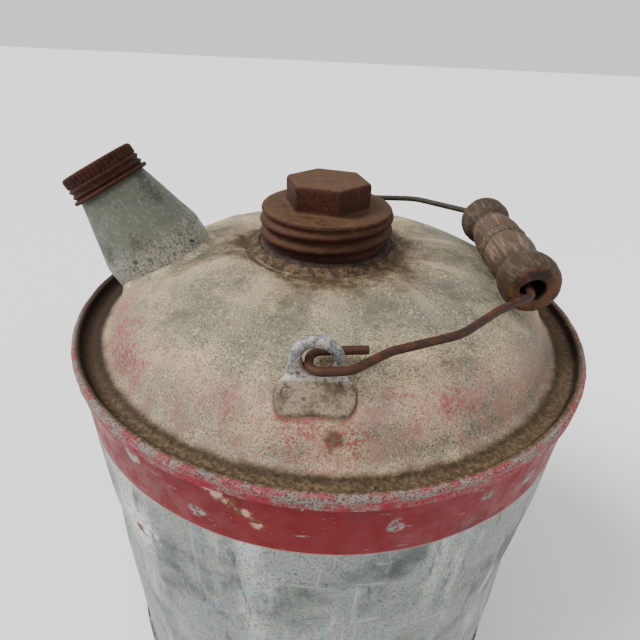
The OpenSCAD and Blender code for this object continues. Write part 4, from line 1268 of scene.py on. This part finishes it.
class GASCAN_OT_ears(bpy.types.Operator):
    """Bent sheet ears, each with a rolled eye and a foot plate welded to the dome"""

    bl_idname = "gascan.ears"
    bl_label = "Ears"

    def execute(self, context):
        material = ear_finish()
        for node, side in (("ear_front", -1), ("ear_rear", 1)):
            ear = self.build(node, side)
            finish_piece(ear, "can", "ear_zinc", material, node)
        return {"FINISHED"}

    def build(self, node, side):
        s = sizes()
        low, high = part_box(node)
        middle = (low.x + high.x) / 2
        eye_z = high.z - EYE_DROP
        ear_y = (-high.y if side < 0 else low.y) + EAR_IN
        tab_half = 10.4 * MM
        verts, faces = [], []

        def add(points, quads):
            start = len(verts)
            verts.extend(points)
            faces.extend([tuple(start + i for i in q) for q in quads])

        # foot plate and tab: one bent strip, rows from the plate's outer edge up to the eye
        strip = []
        steps = 26
        for i in range(steps + 1):
            v = s.foot_len * (1 - i / steps)
            corner = min(1.0, (s.foot_len - v) / FOOT_CORNER)
            half = s.foot_half_w - FOOT_CORNER * (1 - math.sqrt(max(0.0, 1 - (1 - corner) ** 2)))
            pull = smooth(v, 3.4 * MM, 0.2 * MM)
            half = half + (tab_half - half) * float(pull)
            strip.append((half, ear_y + v, None))
        rise = 12
        foot_z = float(dome_height(ear_y)) + s.ear_t
        for i in range(1, rise + 1):
            z = foot_z + (eye_z - foot_z) * i / rise
            strip.append((tab_half - 1.3 * MM * i / rise, ear_y + 0.35 * MM, z))
        columns = 28
        ring = []
        for half, y, z in strip:
            row_out, row_in = [], []
            for j in range(columns + 1):
                x = middle + half * (2 * j / columns - 1)
                if z is None:
                    base = float(dome_height(math.hypot(x, y)))
                    row_out.append((x, side * y, base + s.ear_t))
                    row_in.append((x, side * y, base - 0.25 * MM))
                else:
                    row_out.append((x, side * (y + s.ear_t / 2), z))
                    row_in.append((x, side * (y - s.ear_t), z))
            ring.append((row_out, row_in))
        points = []
        for row_out, row_in in ring:
            points.extend(row_out + row_in[::-1])
        width = 2 * (columns + 1)
        quads = grid_faces(len(ring), width, False)
        quads.append(tuple(range(width)))
        quads.append(tuple((len(ring) - 1) * width + i for i in reversed(range(width))))
        add(points, quads)

        # rolled eye
        bead_ring = s.eye_r + s.bead_r + 0.2 * MM
        around, across = 72, 24
        points = []
        for i in range(around):
            a = math.tau * i / around
            for j in range(across):
                b = math.tau * j / across
                d = bead_ring + s.bead_r * math.cos(b)
                y = side * ear_y + s.bead_r * math.sin(b)
                points.append((middle + d * math.cos(a), y, eye_z + d * math.sin(a)))
        quads = []
        for i in range(around):
            for j in range(across):
                n, m = (i + 1) % around, (j + 1) % across
                quads.append((i * across + j, n * across + j, n * across + m, i * across + m))
        add(points, quads)
        ear = mesh_object(f"{node}_sheet", verts, faces)
        remesh = ear.modifiers.new("join", "REMESH")
        remesh.mode = "VOXEL"
        remesh.voxel_size = 0.32 * MM
        soften = ear.modifiers.new("soften", "SMOOTH")
        soften.factor = 0.5
        soften.iterations = 6
        apply_modifiers(ear)
        at_eye = Matrix.Translation((middle, side * ear_y, eye_z)) @ Matrix.Rotation(math.pi / 2, 4, "X")
        cut(ear, rod("eye_hole", s.eye_r, 9 * MM, 64, at_eye))
        welds = [(middle + x * MM, side * WELD_Y) for x in (-9.3, 8.6)]
        dimple(ear, welds, 2.0 * MM, 0.3 * MM)
        return ear


def dimple(piece, places, radius, depth):
    """Presses round weld marks down into a piece."""
    for vertex in piece.data.vertices:
        for x, y in places:
            away = math.hypot(vertex.co.x - x, vertex.co.y - y)
            if away < radius * 1.4:
                vertex.co.z -= depth * float(smooth(away, radius * 1.25, radius * 0.85))


class GASCAN_OT_bail(bpy.types.Operator):
    """Bent wire bail, hooked through both eyes, with sheared ends"""

    bl_idname = "gascan.bail"
    bl_label = "Bail Wire"

    def execute(self, context):
        s = sizes()
        ear_y = EAR_Y_MM
        reach = 84.2
        half_grip = GRIP_HIGH.y / MM
        # corners in the bail's plane in millimetres: out from the eyes, along Y, bend radius
        front = [(20, -ear_y + 6, 0), (0, -ear_y + 6, 4), (0, -ear_y - 5.6, 5), (14, -ear_y - 5.1, 9),
                 (27, -ear_y + 4.7, 14), (reach - 32, -ear_y + 13.7, 22), (reach - 16.5, -ear_y + 28, 12),
                 (reach, -half_grip - 3.7, 5)]
        rear = [(20, ear_y - 6, 0), (0, ear_y - 6, 4), (0, ear_y + 5.3, 5), (16, ear_y + 3, 12),
                (reach - 29, ear_y - 7.4, 20), (reach, half_grip + 5.2, 5)]
        corners = front + rear[::-1]
        path = [corners[0][:2]]
        for before, here, after in zip(corners, corners[1:], corners[2:]):
            path += bend(before, here, after)
        path.append(corners[-1][:2])
        path = spaced(np.array(path), 1.5)
        lie = Vector(GRIP_CENTRE - PIVOT)
        lie.y = 0
        out = np.array(lie.normalized())
        up = np.array([-out[2], 0, out[0]])
        across = np.array([0, 1.0, 0])
        tangent = np.gradient(path, axis=0)
        tangent /= np.linalg.norm(tangent, axis=1)[:, None]
        sides = 20
        verts = []
        for i, ((u, y), (tu, ty)) in enumerate(zip(path, tangent)):
            centre = np.array(PIVOT) + (out * u + across * y) * MM
            side_way = -ty * out + tu * across
            shrink = 0.9 if i in (0, len(path) - 1) else 1.0
            radius = s.wire_r * (0.985 + 0.02 * noise.noise(Vector((u * 0.2, y * 0.2, 0))))
            for j in range(sides):
                b = math.tau * j / sides
                verts.append(centre + radius * shrink * (side_way * math.cos(b) + up * math.sin(b)))
        faces = grid_faces(len(path), sides, False)
        faces.append(tuple(reversed(range(sides))))
        faces.append(tuple((len(path) - 1) * sides + j for j in range(sides)))
        wire = mesh_object("bail_wire_rod", np.array(verts).tolist(), faces, 50)
        finish_piece(wire, "bail", "bail_steel", wire_finish(), "bail_wire")
        return {"FINISHED"}


def bend(before, here, after):
    """The arc that rounds a corner of a route."""
    a, b, c = (np.array(p[:2], float) for p in (before, here, after))
    radius = here[2]
    back, ahead = (a - b) / np.linalg.norm(a - b), (c - b) / np.linalg.norm(c - b)
    half = math.acos(float(back @ ahead)) / 2
    middle = (back + ahead) / np.linalg.norm(back + ahead)
    centre = b + middle * radius / math.sin(half)
    start = b + back * radius / math.tan(half)
    hand = 1 if -back[0] * ahead[1] + back[1] * ahead[0] > 0 else -1
    angle = math.pi - 2 * half
    count = max(3, math.ceil(angle / math.radians(6)))
    points = []
    for i in range(count + 1):
        a_i = hand * angle * i / count
        v = start - centre
        points.append((centre[0] + v[0] * math.cos(a_i) - v[1] * math.sin(a_i),
                       centre[1] + v[0] * math.sin(a_i) + v[1] * math.cos(a_i)))
    return points


def spaced(path, step):
    """The route with points added so that none is further than a step from the next."""
    points = [path[0]]
    for a, b in zip(path, path[1:]):
        gap = np.linalg.norm(b - a)
        if gap < 1e-6:
            continue
        count = max(1, math.ceil(gap / step))
        points += [a + (b - a) * i / count for i in range(1, count + 1)]
    return np.array(points)


class GASCAN_OT_grip(bpy.types.Operator):
    """Turned wooden grip with a wide worn bore"""

    bl_idname = "gascan.grip"
    bl_label = "Grip"

    def execute(self, context):
        s = sizes()
        half = GRIP_HIGH.y
        knob_r = 12.2 * MM
        barrel_r, cove_r = 10.9 * MM, 8.85 * MM
        knob_mid = half - 9.5 * MM
        bead = 2.5 * MM
        cove_at = half - COVE_IN
        swell_at = 10.4 * MM
        profile = [(bead * i / 5, barrel_r + 0.1 * MM - 0.7 * MM * (i / 5) ** 3) for i in range(6)]
        profile += [(bead + 0.35 * MM, barrel_r - 1.1 * MM), (bead + 0.7 * MM, barrel_r - 1.25 * MM),
                    (bead + 1.1 * MM, barrel_r - 1.1 * MM), (bead + 1.6 * MM, barrel_r - 0.65 * MM),
                    (bead + 2.6 * MM, barrel_r - 0.3 * MM), (bead + 4.4 * MM, barrel_r - 0.1 * MM)]
        profile += [(swell_at + (cove_at - swell_at) * i / 12,
                     barrel_r + (cove_r - barrel_r) * float(smooth(i / 12, 0, 1))) for i in range(13)]
        knob_foot = knob_r - 0.9 * MM
        profile += [(cove_at + 4.3 * MM * i / 8, cove_r + (knob_foot - cove_r) * float(smooth(i / 8, 0, 1)))
                    for i in range(1, 9)]
        for i in range(1, 15):
            a = math.radians(125 - 122 * i / 14)
            profile.append((knob_mid + 1 * MM + (half - knob_mid - 1 * MM) * math.cos(a),
                            knob_r - 4.2 * MM + 4.2 * MM * math.sin(a)))
        end = profile[-1][1]
        profile += [(half, end - (end - s.grip_bore_r - 0.7 * MM) * i / 5) for i in range(1, 6)]
        profile += [(half - 0.3 * MM, s.grip_bore_r + 0.2 * MM), (half - 1 * MM, s.grip_bore_r)]
        right = [(r, along) for along, r in profile]
        left = [(r, -along) for along, r in reversed(profile) if along > 0]
        loop = [(r, along, math.pi / 2) for r, along in left + right]
        bore = straight((s.grip_bore_r, half - 1 * MM), (s.grip_bore_r, -half + 1 * MM), 10)[:-1]
        loop += [(r, along, math.pi / 2) for r, along, _ in bore]

        def shift(r, along, angle):
            x, y = np.cos(angle), np.sin(angle)
            grain = 0.14 * MM * field(x, y, along * 8, 9.0, 3.0) - 0.12 * MM
            knocks = -0.35 * MM * np.clip(field(x, y, along * 22, 2.4, 11.0), 0, 1)
            crack = -0.45 * MM * np.exp(-(((angle - 2.3) * 12) ** 2))
            crack = crack * smooth(along, half - 26 * MM, half - 6 * MM)
            outer = r > s.grip_bore_r + 1.2 * MM
            bore_edge = smooth(np.abs(along), half - 5 * MM, half) * (r < s.grip_bore_r + 1 * MM)
            rub = 1.3 * MM * np.exp(-(((angle - math.pi) / 0.5) ** 2)) * bore_edge
            return 0, (grain + knocks + crack) * outer + rub, 0

        # the revolved outline's Z runs along the grip, and its X points out from the eyes
        place = Matrix.Translation(GRIP_CENTRE) @ Matrix.Rotation(-math.pi / 2, 4, "X")
        grip = revolved("wood_grip", loop, 160, shift, 55, place)
        finish_piece(grip, "grip", "grip_wood", wood_finish(), "bail_grip")
        return {"FINISHED"}


class GASCAN_OT_stage(bpy.types.Operator):
    """Plain floor, soft studio light and the camera"""

    bl_idname = "gascan.stage"
    bl_label = "Stage"

    def execute(self, context):
        stage = context.scene.gas_can_stage
        c = colours()
        f = Finish("floor_plain")
        f.relief((f.noise(300, 2), 0.02 * MM))
        material = f.done(tuple(c.floor), 0.7, 0.0, 0.3)
        half = 6.0
        corners = [(-half, -half, 0), (half, -half, 0), (half, half, 0), (-half, half, 0)]
        floor = mesh_object("floor", corners, [(0, 1, 2, 3)])
        floor.data.materials.append(material)

        world = bpy.data.worlds.new("studio")
        context.scene.world = world
        world.use_nodes = True
        back = world.node_tree.nodes["Background"]
        back.inputs[0].default_value = (0.99, 0.99, 1.0, 1.0)
        back.inputs[1].default_value = stage.sky
        sun = bpy.data.lights.new("key", "SUN")
        sun.energy = stage.key
        sun.angle = stage.soft
        panel = bpy.data.lights.new("fill", "AREA")
        panel.energy = stage.fill
        panel.size = 0.9
        for light, place in ((sun, (-1.05, -0.1, 1.3)), (panel, (0.8, -0.6, 0.75))):
            lamp = bpy.data.objects.new(light.name, light)
            lamp.location = place
            aim = Vector((0, 0, 0.22)) - Vector(place)
            lamp.rotation_euler = aim.to_track_quat("-Z", "Y").to_euler()
            context.scene.collection.objects.link(lamp)

        lens = bpy.data.cameras.new("camera")
        lens.lens = stage.lens
        lens.sensor_width = 36.0
        lens.clip_start = 0.01
        camera = bpy.data.objects.new("camera", lens)
        camera.matrix_world = camera_matrix(stage)
        context.scene.collection.objects.link(camera)
        context.scene.camera = camera
        return {"FINISHED"}


def camera_matrix(stage):
    """The camera looks at the middle of the top rim, then pans, tilts and rolls."""
    away = Vector((0, -math.cos(stage.elevation), math.sin(stage.elevation)))
    right, forward = Vector((1, 0, 0)), -away
    up = right.cross(forward)
    forward, right = (
        math.cos(stage.pan) * forward + math.sin(stage.pan) * right,
        math.cos(stage.pan) * right - math.sin(stage.pan) * forward,
    )
    forward, up = (
        math.cos(stage.tilt) * forward + math.sin(stage.tilt) * up,
        math.cos(stage.tilt) * up - math.sin(stage.tilt) * forward,
    )
    right, up = (
        math.cos(stage.roll) * right + math.sin(stage.roll) * up,
        math.cos(stage.roll) * up - math.sin(stage.roll) * right,
    )
    matrix = Matrix((right, up, -forward)).transposed().to_4x4()
    matrix.translation = Vector((0, 0, rim_crest())) + away * stage.far
    return matrix


class GASCAN_PT_panel(bpy.types.Panel):
    """Lists the can's pieces"""

    bl_label = "Gas Can"
    bl_idname = "GASCAN_PT_panel"
    bl_space_type = "VIEW_3D"
    bl_region_type = "UI"
    bl_category = "Gas Can"

    def draw(self, context):
        for operator in OPERATORS:
            self.layout.operator(operator.bl_idname)
        for group in (sizes(), colours(), context.scene.gas_can_stage):
            box = self.layout.box()
            for name in group.__annotations__:
                box.prop(group, name)


OPERATORS = (
    GASCAN_OT_stage,
    GASCAN_OT_wall,
    GASCAN_OT_dome,
    GASCAN_OT_filler,
    GASCAN_OT_filler_cap,
    GASCAN_OT_spout,
    GASCAN_OT_spout_cap,
    GASCAN_OT_ears,
    GASCAN_OT_bail,
    GASCAN_OT_grip,
)
CLASSES = (GasCanSizes, GasCanColours, GasCanStage, *OPERATORS, GASCAN_PT_panel)


def register():
    for cls in CLASSES:
        bpy.utils.register_class(cls)
    bpy.types.Scene.gas_can_sizes = PointerProperty(type=GasCanSizes)
    bpy.types.Scene.gas_can_colours = PointerProperty(type=GasCanColours)
    bpy.types.Scene.gas_can_stage = PointerProperty(type=GasCanStage)


def unregister():
    del bpy.types.Scene.gas_can_stage
    del bpy.types.Scene.gas_can_colours
    del bpy.types.Scene.gas_can_sizes
    for cls in reversed(CLASSES):
        bpy.utils.unregister_class(cls)


def main():
    """Registers the add-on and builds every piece."""
    register()
    for operator in OPERATORS:
        group, name = operator.bl_idname.split(".")
        getattr(getattr(bpy.ops, group), name)()


if __name__ == "__main__":
    main()
